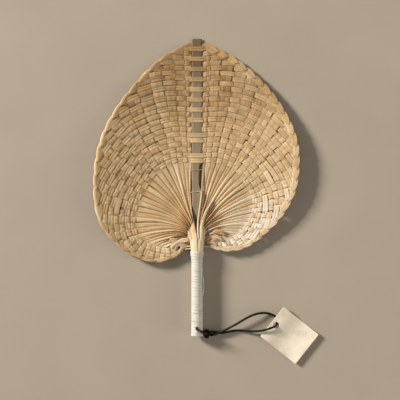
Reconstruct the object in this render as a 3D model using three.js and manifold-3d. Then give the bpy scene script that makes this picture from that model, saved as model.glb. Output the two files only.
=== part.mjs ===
// A hand fan woven from one palm leaf, with a wrapped handle, a hanging cord and a plain tag.
//
// Millimetres. The model is laid out around the neck, where the pleats gather: +Y runs up the spine to the
// tip, +X to the right and +Z up off the table. At the end it is moved so that the fan stands on the table
// with the middle of its own box over the origin.

import * as THREE from "three";
import { mergeVertices } from "three/addons/utils/BufferGeometryUtils.js";
import Module from "manifold-3d";

const { degToRad, lerp, radToDeg, smoothstep } = THREE.MathUtils;

// Clearances
const touchGap = 0.3;
const edgeGap = 0.4;

// Leaf strips: each leaf segment is slit into three strips
const segmentsPerSide = 9;
const stripsPerSegment = 3;
const leafThickness = 0.45;
const firstStrip = 0.035;
const lastStrip = 0.93;

// Wefts, woven across the strips
const weftPitchAtSpine = 12.8;
const weftPitchAtLobe = 7.6;
const weftTail = 0.45;
const weaveLift = 1.35;

// Weave: each strip runs from a point of the inner edge to the matching point of the outline
const weaveFrom = 86;
const weaveTop = 239;
const innerPoints = {
  left: [
    [25, 86.5], [47.5, 76.5], [62, 55.5], [72.5, 35], [76.5, 13.5],
    [70, -7], [55, -16], [37, -19.5], [20, -16.5],
  ],
  right: [
    [25, 86.5], [45, 78], [59.5, 59.5], [68, 42.5], [67, 24.5],
    [59.5, 8.5], [47.5, -4], [34, -11.2], [19.5, -11.5],
  ],
};
const outlinePoints = {
  left: [
    [49.5, 214], [96.5, 161], [121, 112.5], [128.5, 60], [121.5, 13],
    [91, -23], [62, -37], [38, -36], [17.5, -25.5],
  ],
  right: [
    [53, 213.5], [97.5, 169], [124, 116], [125, 63.5], [110.5, 27.5],
    [87, 0], [62.5, -18.5], [38, -24], [15.5, -19.5],
  ],
};

// Rim braid
const rimWidth = 6;
const rimThickness = 2.4;
const rimScallop = 1.4;

// Dish of the blade: its sides and lobes curl up off the table
const dishReach = 128;
const dishRise = 14;
const lobeRise = 6;
const lobeStartAngle = 60;
const lobeEndAngle = 140;

// Spine rib, from the tip down to the tang in the handle
const spineWidth = 12.5;
const spineThickness = 2;
const tipLength = 2;
const spineFlatFrom = 78;
const spineBends = 8;
const tangWidth = 8;
const tangLength = 39.5;
const tangShoulder = 2.5;

// Pleats at the neck: their roots run down past the rib on both sides
const pleatHeight = 7;
const pleatSteps = 4;
const heelThickness = 1;
const heelInset = 0.4;
const heelMargin = 0.35;
const rootTopY = 40;
const rootBottomY = { left: -14, right: -3.5 };
const rootTopOut = 1.95;
const rootBottomOut = 5.85;

// Neck sheaths: height along the neck, width on each side, thickness
const sheathRows = [
  { y: -6, outer: 8, depth: 3.8 },
  { y: 9, outer: 9.5, depth: 3.2 },
];
const sheathFoot = { outer: 6.5, depth: 3.8 };
const sheathFork = { y: 28, inner: 5, outer: 10.3, depth: 2 };
const sheathTip = { above: 2, width: 3.15, depth: 1 };

// Handle
const handleTop = -22.5;
const handleEnd = -128.75;
const handleHeight = 10.4;
const handleSides = 20;
const handleTopRadius = 6.8;
const handleEndRadius = 7.05;
const endFaceRadius = 4.2;
const endRounding = 3;
const collarLength = 17.5;
const hangHoleFromEnd = 9;
const hangHoleRadius = 2.6;
const hangHoleSides = 12;
const hangHoleMouth = 1.6;

// Winding on the handle
const windingTurns = 24;
const windingSteps = 14;
const tapeThickness = 1;
const tapeGap = 0.6;
const windingMargin = 1.5;

// Thread round the spine
const tieFrom = 50;
const tieLength = 1.2;
const tieThickness = 0.7;

// Cord and tag
const cordRadius = 1.4;
const cordSides = 8;
const eyeSteps = 30;
const loopSteps = 70;
const knotRadius = 4.6;
const knotFlatten = 0.9;
const knotReach = 15;
const knotBearing = -28;
const tagLength = 56;
const tagWidth = 47;
const tagThickness = 1.2;
const tagCorner = 1.5;
const tagHoleRadius = 3.6;
const tagHoleFromEdge = 6.9;
const tagHole = { x: 98.9, y: -115.75 };
const tagBearing = -38.5;
const tagLift = 3.9;

// Colours
const leafColour = "#b8956a";
const weftColour = "#c2a377";
const spineColour = "#947b5f";
const tapeColour = "#e6dcc8";
const stickColour = "#a98c62";
const cordColour = "#1d1a18";
const tagColour = "#d9cdb6";

// Worked out from the sizes above
const strips = segmentsPerSide * stripsPerSegment;
const stripStep = (lastStrip - firstStrip) / (strips - 1);
const spineSide = spineWidth / 2 + edgeGap;
const spineTip = weaveTop + tipLength;
const tangFrom = handleTop + tangShoulder;
const tangEnd = handleTop - tangLength;
const hangHoleY = handleEnd + hangHoleFromEnd;
const collarTop = handleEnd + collarLength;
const layer = leafThickness + touchGap;
const spineLift = (spineThickness + leafThickness) / 2 + touchGap;
const weaveMiddle = spineLift + leafThickness / 2;
const sides = { left: -1, right: 1 };
const ahead = new THREE.Vector3(0, 1, 0);
const up = new THREE.Vector3(0, 0, 1);

const wasm = await Module();
wasm.setup();

// A smooth edge of the weave, from the spine round to the lobe.
function edgeCurve(height, points) {
  return new THREE.SplineCurve([[spineSide, height], ...points].map(([x, y]) => new THREE.Vector2(x, y)));
}

const edges = {};
for (const side of Object.keys(sides)) {
  edges[side] = {
    inner: edgeCurve(weaveFrom, innerPoints[side]),
    outer: edgeCurve(weaveTop, outlinePoints[side]),
  };
}

function stationOf(strip) {
  return firstStrip + strip * stripStep;
}

// The length of the weave along a strip, from its inner edge to the outline.
function weaveReach(side, station) {
  return edges[side].inner.getPoint(station).distanceTo(edges[side].outer.getPoint(station));
}

function weftPitch(station) {
  return lerp(weftPitchAtSpine, weftPitchAtLobe, station);
}

function weftDistance(weft, station) {
  return (weft + 0.5) * weftPitch(station);
}

function isOver(strip, weft) {
  return (strip + weft) % 2 === 0 ? 1 : -1;
}

// Height of the middle of the blade over the table.
function heightAt(x, y) {
  const out = Math.max(0, Math.abs(x) - spineSide);
  const dish = dishRise * (out / dishReach) ** 2;
  const bearing = radToDeg(Math.atan2(out, y));
  return weaveMiddle + dish + lobeRise * smoothstep(bearing, lobeStartAngle, lobeEndAngle);
}

function normalAt(x, y) {
  const reach = 0.5;
  const slopeX = (heightAt(x + reach, y) - heightAt(x - reach, y)) / (2 * reach);
  const slopeY = (heightAt(x, y + reach) - heightAt(x, y - reach)) / (2 * reach);
  return new THREE.Vector3(-slopeX, -slopeY, 1).normalize();
}

// A point on the middle of the blade, a distance out from the inner edge along a strip.
function spot(side, station, distance) {
  const inner = edges[side].inner.getPoint(station);
  const flat = inner.lerp(edges[side].outer.getPoint(station), distance / weaveReach(side, station));
  const x = sides[side] * flat.x;
  return new THREE.Vector3(x, flat.y, heightAt(x, flat.y));
}

function stripDirection(side, station, distance) {
  return spot(side, station, distance + 1).sub(spot(side, station, distance)).normalize();
}

function weftDirection(side, station, weft) {
  const reach = stripStep / 2;
  const before = Math.max(station - reach, 0);
  const from = spot(side, before, weftDistance(weft, before));
  const to = spot(side, station + reach, weftDistance(weft, station + reach));
  return to.sub(from).normalize();
}

// The room between the middles of neighbouring strips.
function stripRoom(side, station, distance) {
  const reach = stripStep / 2;
  const before = Math.max(station - reach, 0);
  const from = spot(side, before, distance);
  const across = spot(side, before + 2 * reach, distance).sub(from);
  return across.cross(stripDirection(side, station, distance)).length();
}

// The share of their room that a strip and a weft fill where they cross. It is the widest that keeps their
// corners one layer apart, and it falls where they cross at a slant.
function crossShare(side, station, weft) {
  const distance = weftDistance(weft, station);
  const cosine = Math.abs(stripDirection(side, station, distance).dot(weftDirection(side, station, weft)));
  const sine = Math.sqrt(1 - cosine * cosine);
  const ratio = stripRoom(side, station, distance) / weftPitch(station);
  return (2 - layer / weaveLift) / (2 + (cosine / sine) * ratio + (sine * cosine) / ratio);
}

function stripWidth(side, station, weft) {
  const share = crossShare(side, station, weft);
  return share * stripRoom(side, station, weftDistance(weft, station));
}

function weftWidth(side, station, weft) {
  const along = weftDirection(side, station, weft);
  const out = stripDirection(side, station, weftDistance(weft, station));
  const sine = out.cross(along).length();
  return crossShare(side, station, weft) * weftPitch(station) * sine;
}

// The four corners of a leaf strip's section. Twist 0 lies flat, and a quarter turn stands on edge.
function ribbonSection(centre, along, normal, width, twist = 0) {
  const across = new THREE.Vector3().crossVectors(along, normal).normalize();
  const face = new THREE.Vector3().crossVectors(across, along).normalize();
  const wide = across.clone().multiplyScalar(Math.cos(twist)).addScaledVector(face, Math.sin(twist));
  const thin = face.clone().multiplyScalar(Math.cos(twist)).addScaledVector(across, -Math.sin(twist));
  return [[-1, -1], [-1, 1], [1, 1], [1, -1]].map(([w, t]) =>
    centre.clone().addScaledVector(wide, (w * width) / 2).addScaledVector(thin, (t * leafThickness) / 2));
}

// One closed skin over a row of sections that all have the same number of corners. Each side is split as
// the side opposite is, so that a twisted strip keeps its thickness.
function loft(sections) {
  const corners = sections[0].length;
  const index = [];
  for (let row = 0; row + 1 < sections.length; row += 1) {
    for (let corner = 0; corner < corners; corner += 1) {
      const here = row * corners + corner;
      const beside = row * corners + ((corner + 1) % corners);
      if (corner < corners / 2) {
        index.push(here, beside, beside + corners, here, beside + corners, here + corners);
      } else {
        index.push(here, beside, here + corners, beside, beside + corners, here + corners);
      }
    }
  }
  const end = (sections.length - 1) * corners;
  for (let corner = 1; corner + 1 < corners; corner += 1) {
    index.push(0, corner + 1, corner);
    index.push(end, end + corner, end + corner + 1);
  }
  const geometry = new THREE.BufferGeometry().setFromPoints(sections.flat());
  geometry.setIndex(index);
  return geometry;
}

// Joining and cutting
function toSolid(geometry) {
  const bare = new THREE.BufferGeometry();
  bare.setAttribute("position", geometry.getAttribute("position"));
  bare.setIndex(geometry.getIndex());
  const merged = mergeVertices(bare);
  return new wasm.Manifold(new wasm.Mesh({
    numProp: 3,
    vertProperties: new Float32Array(merged.attributes.position.array),
    triVerts: new Uint32Array(merged.index.array),
  }));
}

function toGeometry(solid) {
  const mesh = solid.getMesh();
  const geometry = new THREE.BufferGeometry();
  geometry.setAttribute("position", new THREE.BufferAttribute(mesh.vertProperties, 3));
  geometry.setIndex(new THREE.BufferAttribute(mesh.triVerts, 1));
  return geometry;
}

function join(geometries) {
  return toGeometry(geometries.map(toSolid).reduce((whole, piece) => whole.add(piece)));
}

function cut(geometry, tools) {
  return toGeometry(tools.map(toSolid).reduce((whole, tool) => whole.subtract(tool), toSolid(geometry)));
}

// Where a strip leaves the neck.
function rootOf(side, strip) {
  const share = strip / (strips - 1);
  const x = spineSide + lerp(rootTopOut, rootBottomOut, share);
  const y = lerp(rootTopY, rootBottomY[side], share);
  return new THREE.Vector3(sides[side] * x, y, 0);
}

// Whether a weft still lies inside the rim where its tail ends, past this strip.
function weftReaches(side, weft, strip) {
  const station = stationOf(strip) + weftTail * stripStep;
  const outer = weftDistance(weft, station) + weftPitch(station) / 2;
  return outer < weaveReach(side, station) - rimWidth;
}

function weftsAcross(side, strip) {
  let count = 0;
  while (weftReaches(side, count, strip)) {
    count += 1;
  }
  return count;
}

const weftCount = Math.min(weftsAcross("left", 0), weftsAcross("right", 0));

// The pleated part of a strip: on edge at the neck, flat where the weave starts.
function pleatSections(side, strip) {
  const root = rootOf(side, strip);
  const flat = spot(side, stationOf(strip), 0);
  const flatWidth = stripWidth(side, stationOf(strip), 0);
  const along = new THREE.Vector3(flat.x - root.x, flat.y - root.y, 0).normalize();
  const sections = [];
  for (let step = 0; step < pleatSteps; step += 1) {
    const share = step / pleatSteps;
    const twist = (Math.PI / 2) * (1 - smoothstep(share, 0.25, 1.1));
    const width = lerp(pleatHeight, flatWidth, smoothstep(share, 0, 1));
    const centre = root.clone().lerp(flat, share);
    const base = (flat.z - leafThickness / 2) * smoothstep(share, 0.35, 1);
    centre.z = base + (width * Math.sin(twist) + leafThickness * Math.cos(twist)) / 2;
    sections.push(ribbonSection(centre, along, up, width, sides[side] * twist));
  }
  return sections;
}

// The woven part of a strip, up and down past each weft and slanted off along the rim.
function wovenSections(side, strip) {
  const station = stationOf(strip);
  const crossings = Math.min(weftsAcross(side, strip), weftCount);
  const stops = [{ distance: 0, level: 0, width: stripWidth(side, station, 0) }];
  for (let weft = 0; weft < crossings; weft += 1) {
    const distance = weftDistance(weft, station);
    stops.push({ distance, level: isOver(strip, weft), width: stripWidth(side, station, weft) });
  }
  const sections = stops.map(({ distance, level, width }) => {
    const centre = spot(side, station, distance);
    const normal = normalAt(centre.x, centre.y);
    centre.addScaledVector(normal, level * weaveLift);
    return ribbonSection(centre, stripDirection(side, station, distance), normal, width);
  });
  const last = stops[stops.length - 1];
  const tail = (weaveReach(side, station) - rimWidth - edgeGap - last.distance) / weftPitch(station);
  const endLevel = last.level * Math.max(-1, 1 - 2 * tail) * weaveLift;
  const half = (sides[side] * last.width * stripStep) / stripRoom(side, station, last.distance) / 2;
  const corner = (turn, level) => {
    const point = spot(side, station + turn, weaveReach(side, station + turn) - rimWidth - edgeGap);
    return point.addScaledVector(normalAt(point.x, point.y), level);
  };
  const low = endLevel - leafThickness / 2;
  const high = endLevel + leafThickness / 2;
  sections.push([corner(-half, low), corner(-half, high), corner(half, high), corner(half, low)]);
  return sections;
}

// The heel that holds the strips of one segment together at the neck.
function segmentHeel(side, first) {
  const before = rootOf(side, first - heelMargin);
  const after = rootOf(side, first + stripsPerSegment - 1 + heelMargin);
  const middle = before.clone().lerp(after, 0.5);
  const along = after.clone().sub(before);
  const heel = new THREE.BoxGeometry(heelThickness, along.length(), pleatHeight - 2 * touchGap);
  heel.rotateZ(Math.atan2(-along.x, along.y));
  return heel.translate(middle.x - sides[side] * heelInset, middle.y, pleatHeight / 2);
}

function leafSegment(side, segment) {
  const first = segment * stripsPerSegment;
  const pieces = [segmentHeel(side, first)];
  for (let strip = first; strip < first + stripsPerSegment; strip += 1) {
    pieces.push(loft([...pleatSections(side, strip), ...wovenSections(side, strip)]));
  }
  return join(pieces);
}

// One side of a weft, from the edge of the spine outwards.
function weftStops(side, weft) {
  const stops = [{ side, station: 0, lift: isOver(0, weft) * spineLift }];
  for (let strip = 0; strip < strips && weftReaches(side, weft, strip); strip += 1) {
    stops.push({ side, station: stationOf(strip), lift: -isOver(strip, weft) * weaveLift });
  }
  const last = stops[stops.length - 1];
  const lift = last.lift * (1 - 2 * weftTail);
  return [...stops, { side, station: last.station + weftTail * stripStep, lift }];
}

function weftStrip(weft) {
  const stops = [...weftStops("left", weft).reverse(), ...weftStops("right", weft)];
  const sections = stops.map(({ side, station, lift }) => {
    const centre = spot(side, station, weftDistance(weft, station));
    const normal = normalAt(centre.x, centre.y);
    centre.addScaledVector(normal, lift);
    const out = station === 0 ? new THREE.Vector3(sides[side], 0, 0) : weftDirection(side, station, weft);
    return ribbonSection(centre, out.multiplyScalar(sides[side]), normal, weftWidth(side, station, weft));
  });
  return loft(sections);
}

// The braided edge, with one scallop for each strip.
function rimBraid(side) {
  const stations = [0];
  for (let station = stationOf(0); station < 1; station += stripStep / 2) {
    stations.push(station);
  }
  const sections = stations.map((station, place) => {
    const reach = weaveReach(side, station);
    const outer = spot(side, station, reach - (place % 2 === 0 ? rimScallop : 0));
    const inner = spot(side, station, reach - rimWidth);
    const normal = normalAt(inner.x, inner.y);
    const corners = [[inner, -1], [inner, 1], [outer, 1], [outer, -1]];
    const section = corners.map(([point, level]) =>
      point.clone().addScaledVector(normal, (level * rimThickness) / 2));
    return side === "left" ? section : section.reverse();
  });
  return loft(sections);
}

function spineHeight(y) {
  return lerp(handleHeight, weaveMiddle, smoothstep(y, tangFrom, spineFlatFrom));
}

function spineRib() {
  const places = [tangEnd];
  for (let bend = 0; bend <= spineBends; bend += 1) {
    places.push(lerp(tangFrom, spineFlatFrom, bend / spineBends));
  }
  places.push(spineTip);
  const sections = places.map((y) => {
    const half = lerp(tangWidth, spineWidth, smoothstep(y, tangFrom, 0)) / 2;
    const low = spineHeight(y) - spineThickness / 2;
    const high = low + spineThickness;
    return [[-half, low], [-half, high], [half, high], [half, low]].map(([x, z]) =>
      new THREE.Vector3(x, y, z));
  });
  return loft(sections);
}

function handleRadius(y) {
  return lerp(handleTopRadius, handleEndRadius, (y - handleTop) / (handleEnd - handleTop));
}

function handleCore() {
  const inset = tapeThickness + touchGap;
  const profile = [
    [0, handleEnd],
    [endFaceRadius, handleEnd],
    [lerp(endFaceRadius, handleEndRadius, 0.7), handleEnd + 0.35 * endRounding],
    [handleEndRadius, handleEnd + endRounding],
    [handleEndRadius, collarTop],
    [handleRadius(collarTop) - inset, collarTop],
    [handleRadius(handleTop) - inset, handleTop],
    [0, handleTop],
  ].map(([x, y]) => new THREE.Vector2(x, y));
  const stick = new THREE.LatheGeometry(profile, handleSides);
  const hole = new THREE.CylinderGeometry(hangHoleRadius, hangHoleRadius, 3 * handleEndRadius, hangHoleSides);
  hole.rotateX(Math.PI / 2);
  hole.translate(0, hangHoleY, 0);
  const mouths = [-1, 1].map((way) => {
    const wide = hangHoleRadius + 2 * hangHoleMouth;
    const mouth = new THREE.CylinderGeometry(wide, hangHoleRadius, 2 * hangHoleMouth, hangHoleSides);
    mouth.rotateX((way * Math.PI) / 2);
    return mouth.translate(0, hangHoleY, way * handleEndRadius);
  });
  const slotLength = 2 * (handleTop - tangEnd + touchGap);
  const slot = new THREE.BoxGeometry(tangWidth + 2 * touchGap, slotLength, spineThickness + 2 * touchGap);
  slot.translate(0, handleTop, 0);
  return cut(stick, [hole, ...mouths, slot]).translate(0, 0, handleHeight);
}

// The tape wound round the handle: one unbroken flat strip, running straight off at both ends.
function handleWinding() {
  const from = handleTop - windingMargin;
  const to = collarTop + windingMargin;
  const tapeWidth = (from - to - windingTurns * tapeGap) / (windingTurns + 1);
  const steps = windingTurns * windingSteps;
  const place = (step) => {
    const turn = (2 * Math.PI * step) / windingSteps;
    const y = lerp(from - tapeWidth / 2, to + tapeWidth / 2, step / steps);
    const out = new THREE.Vector3(Math.sin(turn), 0, Math.cos(turn));
    return { y, out, radius: handleRadius(y) - tapeThickness / 2 };
  };
  const sectionAt = ({ y, out, radius }, run = new THREE.Vector3()) => {
    const half = tapeWidth / 2;
    return [[half, -0.5], [half, 0.5], [-half, 0.5], [-half, -0.5]].map(([shift, depth]) =>
      out.clone().multiplyScalar(radius + depth * tapeThickness)
        .add(new THREE.Vector3(0, y + shift, handleHeight)).add(run));
  };
  const runOff = (step, way) => {
    const { y, out, radius } = place(step);
    const run = new THREE.Vector3().crossVectors(ahead, out).multiplyScalar(way * tapeWidth);
    return sectionAt({ y, out, radius }, run);
  };
  const sections = [runOff(0, -1)];
  for (let step = 0; step <= steps; step += 1) {
    sections.push(sectionAt(place(step)));
  }
  sections.push(runOff(steps, 1));
  reportLeastGap(sections);
  return loft(sections);
}

// The least distance from each turn to the next one, on the corners of the sections.
function reportLeastGap(sections) {
  let least = Infinity;
  for (let row = 0; row + windingSteps < sections.length; row += 1) {
    for (const here of sections[row]) {
      for (const there of sections[row + windingSteps]) {
        least = Math.min(least, here.distanceTo(there));
      }
    }
  }
  console.log("handle_winding: least gap to itself", least.toFixed(2), "mm");
}

// The smooth leaf base on each side of the neck, over the pleats and the rib and down to the handle.
function neckSheath(side) {
  const overRib = (y) => Math.max(pleatHeight, spineHeight(y) + spineThickness / 2) + touchGap;
  const tip = { y: rootTopY + sheathTip.above, inner: spineSide, outer: spineSide + sheathTip.width };
  const rows = [
    { y: handleTop + touchGap, ...sheathFoot },
    ...sheathRows,
    sheathFork,
    { ...tip, depth: sheathTip.depth },
  ];
  const sections = rows.map(({ y, inner = edgeGap, outer, depth }) => {
    const low = overRib(y);
    const crown = (inner + outer) / 2;
    const shape = [
      [inner, low],
      [inner, low + 0.7 * depth],
      [crown, low + depth],
      [outer, low + 0.4 * depth],
      [outer, low],
    ];
    const section = shape.map(([x, z]) => new THREE.Vector3(sides[side] * x, y, z));
    return side === "right" ? section : section.reverse();
  });
  return loft(sections);
}

function spineTie() {
  const middle = tieFrom + tieLength / 2;
  const frame = (halfWidth, halfHeight, Kind) => {
    const outline = new Kind();
    outline.moveTo(-halfWidth, -halfHeight);
    outline.lineTo(halfWidth, -halfHeight);
    outline.lineTo(halfWidth, halfHeight);
    outline.lineTo(-halfWidth, halfHeight);
    outline.closePath();
    return outline;
  };
  const innerWidth = spineWidth / 2 + edgeGap;
  const innerHeight = spineThickness / 2 + edgeGap;
  const band = frame(innerWidth + tieThickness, innerHeight + tieThickness, THREE.Shape);
  band.holes.push(frame(innerWidth, innerHeight, THREE.Path));
  const tie = new THREE.ExtrudeGeometry(band, { depth: tieLength, bevelEnabled: false });
  tie.rotateX(Math.PI / 2);
  return tie.translate(0, tieFrom + tieLength, spineHeight(middle));
}

// A round cord along a smooth curve through hand-chosen points.
function cordTube(points, steps) {
  const path = new THREE.CatmullRomCurve3(points.map(([x, y, z]) => new THREE.Vector3(x, y, z)));
  const section = new THREE.Shape();
  for (let side = 0; side < cordSides; side += 1) {
    const turn = (2 * Math.PI * side) / cordSides;
    const x = cordRadius * Math.cos(turn);
    const y = cordRadius * Math.sin(turn);
    side === 0 ? section.moveTo(x, y) : section.lineTo(x, y);
  }
  section.closePath();
  return new THREE.ExtrudeGeometry(section, { steps, extrudePath: path, bevelEnabled: false });
}

// From the knot over the handle, down through the hanging hole and back under it, as [out, height] points.
function cordEye() {
  const route = [
    [13.8, 9.4], [13.8, 12], [13.8, 14.6], [12.9, 18], [10.4, 20.6], [6.9, 21.5], [3.4, 20.6], [0.9, 18],
    [0, 14.6], [0, 10.6], [0, 6.9], [0.7, 4.2], [2.7, 2.3], [5.4, 1.6], [7.8, 1.6], [10.1, 1.7],
  ];
  const bearing = degToRad(knotBearing);
  return cordTube(route.map(([out, height]) => {
    return [out * Math.cos(bearing), hangHoleY + out * Math.sin(bearing), height];
  }), eyeSteps);
}

// The loop from the knot to the tag, up through the tag's hole and back to the knot.
function cordLoop() {
  const route = [
    [18.9, -128.4, 4.2], [24.5, -126.8, 4.7], [30, -124.6, 5.1], [36, -121.6, 5.6], [47.5, -115.5, 6.6],
    [61.1, -107.4, 7.4], [72, -102.6, 6.6], [81.5, -101, 4.4], [90, -101.9, 2.3], [97.3, -105.3, 1.5],
    [99.7, -109, 1.5], [100, -112.3, 2], [98.9, -115.6, 4.5], [96.9, -117.5, 7], [93.4, -118.9, 8.5],
    [86.5, -121.2, 8.7], [78.5, -123, 7.4], [70, -123.7, 5.4], [62, -123.4, 3.4], [53.5, -122.9, 2],
    [44, -123.6, 1.5], [36, -125.2, 1.5], [30, -126, 1.5], [24.5, -125.4, 1.7], [18.8, -124.4, 2.4],
  ];
  return cordTube(route, loopSteps);
}

function cordKnot() {
  const knot = new THREE.SphereGeometry(knotRadius, 14, 9);
  knot.scale(1, 1, knotFlatten);
  const bearing = degToRad(knotBearing);
  const x = knotReach * Math.cos(bearing);
  const y = hangHoleY + knotReach * Math.sin(bearing);
  return knot.translate(x, y, knotFlatten * knotRadius + touchGap);
}

// A plain card, propped on the cord at its hole and resting on the table at its far edge.
function tagCard() {
  const near = -tagHoleFromEdge;
  const far = tagLength - tagHoleFromEdge;
  const half = tagWidth / 2;
  const card = new THREE.Shape();
  card.moveTo(near + tagCorner, -half);
  card.lineTo(far - tagCorner, -half);
  card.lineTo(far, tagCorner - half);
  card.lineTo(far, half - tagCorner);
  card.lineTo(far - tagCorner, half);
  card.lineTo(near + tagCorner, half);
  card.lineTo(near, half - tagCorner);
  card.lineTo(near, tagCorner - half);
  card.closePath();
  const hole = new THREE.Path();
  hole.absarc(0, 0, tagHoleRadius, 0, 2 * Math.PI, true);
  card.holes.push(hole);
  const tag = new THREE.ExtrudeGeometry(card, { depth: tagThickness, bevelEnabled: false, curveSegments: 8 });
  tag.rotateY(Math.asin(tagLift / far));
  tag.rotateZ(degToRad(tagBearing));
  return tag.translate(tagHole.x, tagHole.y, tagLift);
}

function finish(colour, roughness) {
  return new THREE.MeshStandardMaterial({ color: colour, roughness, metalness: 0 });
}

const leaf = finish(leafColour, 0.6);
const weftLeaf = finish(weftColour, 0.55);
const rib = finish(spineColour, 0.7);
const tape = finish(tapeColour, 0.5);
const stick = finish(stickColour, 0.7);
const leather = finish(cordColour, 0.5);
const card = finish(tagColour, 0.85);

const fan = new THREE.Group();
const hanging = new THREE.Group();

function place(group, name, geometry, material) {
  const mesh = new THREE.Mesh(geometry, material);
  mesh.name = name;
  group.add(mesh);
}

for (const side of Object.keys(sides)) {
  for (let segment = 0; segment < segmentsPerSide; segment += 1) {
    place(fan, `leaf_segment_${side}_${segment + 1}`, leafSegment(side, segment), leaf);
  }
  place(fan, `rim_braid_${side}`, rimBraid(side), weftLeaf);
  place(fan, `neck_sheath_${side}`, neckSheath(side), weftLeaf);
}
for (let weft = 0; weft < weftCount; weft += 1) {
  place(fan, `weft_strip_${weft + 1}`, weftStrip(weft), weftLeaf);
}
place(fan, "spine_rib", spineRib(), rib);
place(fan, "spine_tie", spineTie(), tape);
place(fan, "handle_core", handleCore(), stick);
place(fan, "handle_winding", handleWinding(), tape);
place(hanging, "cord_eye", cordEye(), leather);
place(hanging, "cord_loop", cordLoop(), leather);
place(hanging, "cord_knot", cordKnot(), leather);
place(hanging, "tag_card", tagCard(), card);

const box = new THREE.Box3().setFromObject(fan);
const middle = box.getCenter(new THREE.Vector3());
const part = new THREE.Group();
part.add(fan, hanging);
part.position.set(-middle.x, -middle.y, -box.min.z);

export default part;
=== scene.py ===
# Looks of the palm leaf fan: every leaf strip, weft, pleat and turn of tape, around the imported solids.
# Sizes are in millimetres around the neck, where the pleats gather, as in the part's source: +X right,
# +Y up the spine to the tip, +Z off the table. They become metres in the frame when a mesh is made.

import functools
import math
import random

import bpy
from mathutils import Matrix, Vector


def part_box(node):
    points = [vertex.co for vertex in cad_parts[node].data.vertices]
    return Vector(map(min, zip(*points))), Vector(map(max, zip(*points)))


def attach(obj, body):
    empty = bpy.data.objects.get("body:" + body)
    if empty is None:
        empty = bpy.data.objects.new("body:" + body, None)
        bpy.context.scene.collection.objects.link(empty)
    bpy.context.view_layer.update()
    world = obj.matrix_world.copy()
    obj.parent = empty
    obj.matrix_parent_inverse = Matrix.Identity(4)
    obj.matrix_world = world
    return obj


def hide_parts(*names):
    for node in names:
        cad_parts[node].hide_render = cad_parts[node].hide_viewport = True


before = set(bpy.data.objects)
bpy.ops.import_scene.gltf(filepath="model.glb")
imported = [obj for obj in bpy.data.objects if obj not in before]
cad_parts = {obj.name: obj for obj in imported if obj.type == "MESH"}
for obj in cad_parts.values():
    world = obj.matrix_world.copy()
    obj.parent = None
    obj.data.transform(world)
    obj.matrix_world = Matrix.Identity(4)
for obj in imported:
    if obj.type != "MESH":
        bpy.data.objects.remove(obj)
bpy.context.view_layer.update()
chance = random.Random(11)

MM = 0.001
TURN = 2 * math.pi
SIDES = {"left": -1, "right": 1}
UP = Vector((0, 0, 1))
TIPWARD = Vector((0, 1, 0))

# Blade: its dish, and its inner and outer edges from the spine round to the lobe
SPINE_SIDE = 6.65
WEAVE_FROM = 86.0
WEAVE_TOP = 239.0
WEAVE_MIDDLE = 1.75
DISH_REACH = 128.0
DISH_RISE = 14.0
LOBE_RISE = 6.0
LOBE_ANGLES = (60.0, 140.0)
INNER_POINTS = {
    "left": [(25, 86.5), (47.5, 76.5), (62, 55.5), (72.5, 35), (76.5, 13.5),
             (70, -7), (55, -16), (37, -19.5), (20, -16.5)],
    "right": [(25, 86.5), (45, 78), (59.5, 59.5), (68, 42.5), (67, 24.5),
              (59.5, 8.5), (47.5, -4), (34, -11.2), (19.5, -11.5)],
}
OUTLINE_POINTS = {
    "left": [(49.5, 214), (96.5, 161), (121, 112.5), (128.5, 60), (121.5, 13),
             (91, -23), (62, -37), (38, -36), (17.5, -25.5)],
    "right": [(53, 213.5), (97.5, 169), (124, 116), (125, 63.5), (110.5, 27.5),
              (87, 0), (62.5, -18.5), (38, -24), (15.5, -19.5)],
}

# Weave: a station runs from nothing at the spine to one at the lobe, and the strips stand at even stations
SEGMENTS = 9
STRIPS_PER_SEGMENT = 3
STRIPS = SEGMENTS * STRIPS_PER_SEGMENT
FIRST_STRIP = 0.0185
LAST_STRIP = 0.93
STRIP_STEP = (LAST_STRIP - FIRST_STRIP) / (STRIPS - 1)
WEFT_PITCH = (6.35, 7.4)
WEAVE_WAVE = 0.62
WAVE_FLATNESS = 2.6
RIM_WIDTH = 6.2
LEAF_THICKNESS = 0.32
LEAF_CROWN = 0.15
LEAF_GROOVES = (0.0, 0.24, 0.24)

# Spine, handle and cord
SPINE_WIDTH = 12.5
SPINE_THICKNESS = 2.0
SPINE_LOW = -62.0
SPINE_TIP = 241.0
SPINE_FALL = (-20.0, 78.0)
HANDLE_TOP = -22.5
HANDLE_END = -128.75
HANDLE_HEIGHT = 10.4
HANG_HOLE_Y = -119.75
CORD_RADIUS = 1.4


def neck_origin():
    """The neck in the frame, in metres, from the spine's middle and the handle's end."""
    spine_low, spine_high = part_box("spine_rib")
    handle_low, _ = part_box("handle_core")
    return Vector(((spine_low.x + spine_high.x) / 2, handle_low.y - HANDLE_END * MM, 0))


NECK = neck_origin()


def to_frame(point):
    return NECK + Vector(point) * MM


def lerp(low, high, share):
    return low + (high - low) * share


def smoothstep(value, low, high):
    share = min(1.0, max(0.0, (value - low) / (high - low)))
    return share * share * (3 - 2 * share)


def bell(value, middle, width):
    return math.exp(-((value - middle) / width) ** 2)


def spline_point(points, share):
    """A point on a smooth curve through all the points."""
    place = share * (len(points) - 1)
    first = min(int(place), len(points) - 2)
    t = place - first
    p0 = points[max(first - 1, 0)]
    p1, p2 = points[first], points[first + 1]
    p3 = points[min(first + 2, len(points) - 1)]
    result = []
    for a, b, c, d in zip(p0, p1, p2, p3):
        v0, v1 = (c - a) / 2, (d - b) / 2
        result.append((2 * b - 2 * c + v0 + v1) * t ** 3 + (3 * c - 3 * b - 2 * v0 - v1) * t * t + v0 * t + b)
    return Vector(result)


def spline_places(points, steps):
    return [spline_point(points, step / steps) for step in range(steps + 1)]


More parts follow.
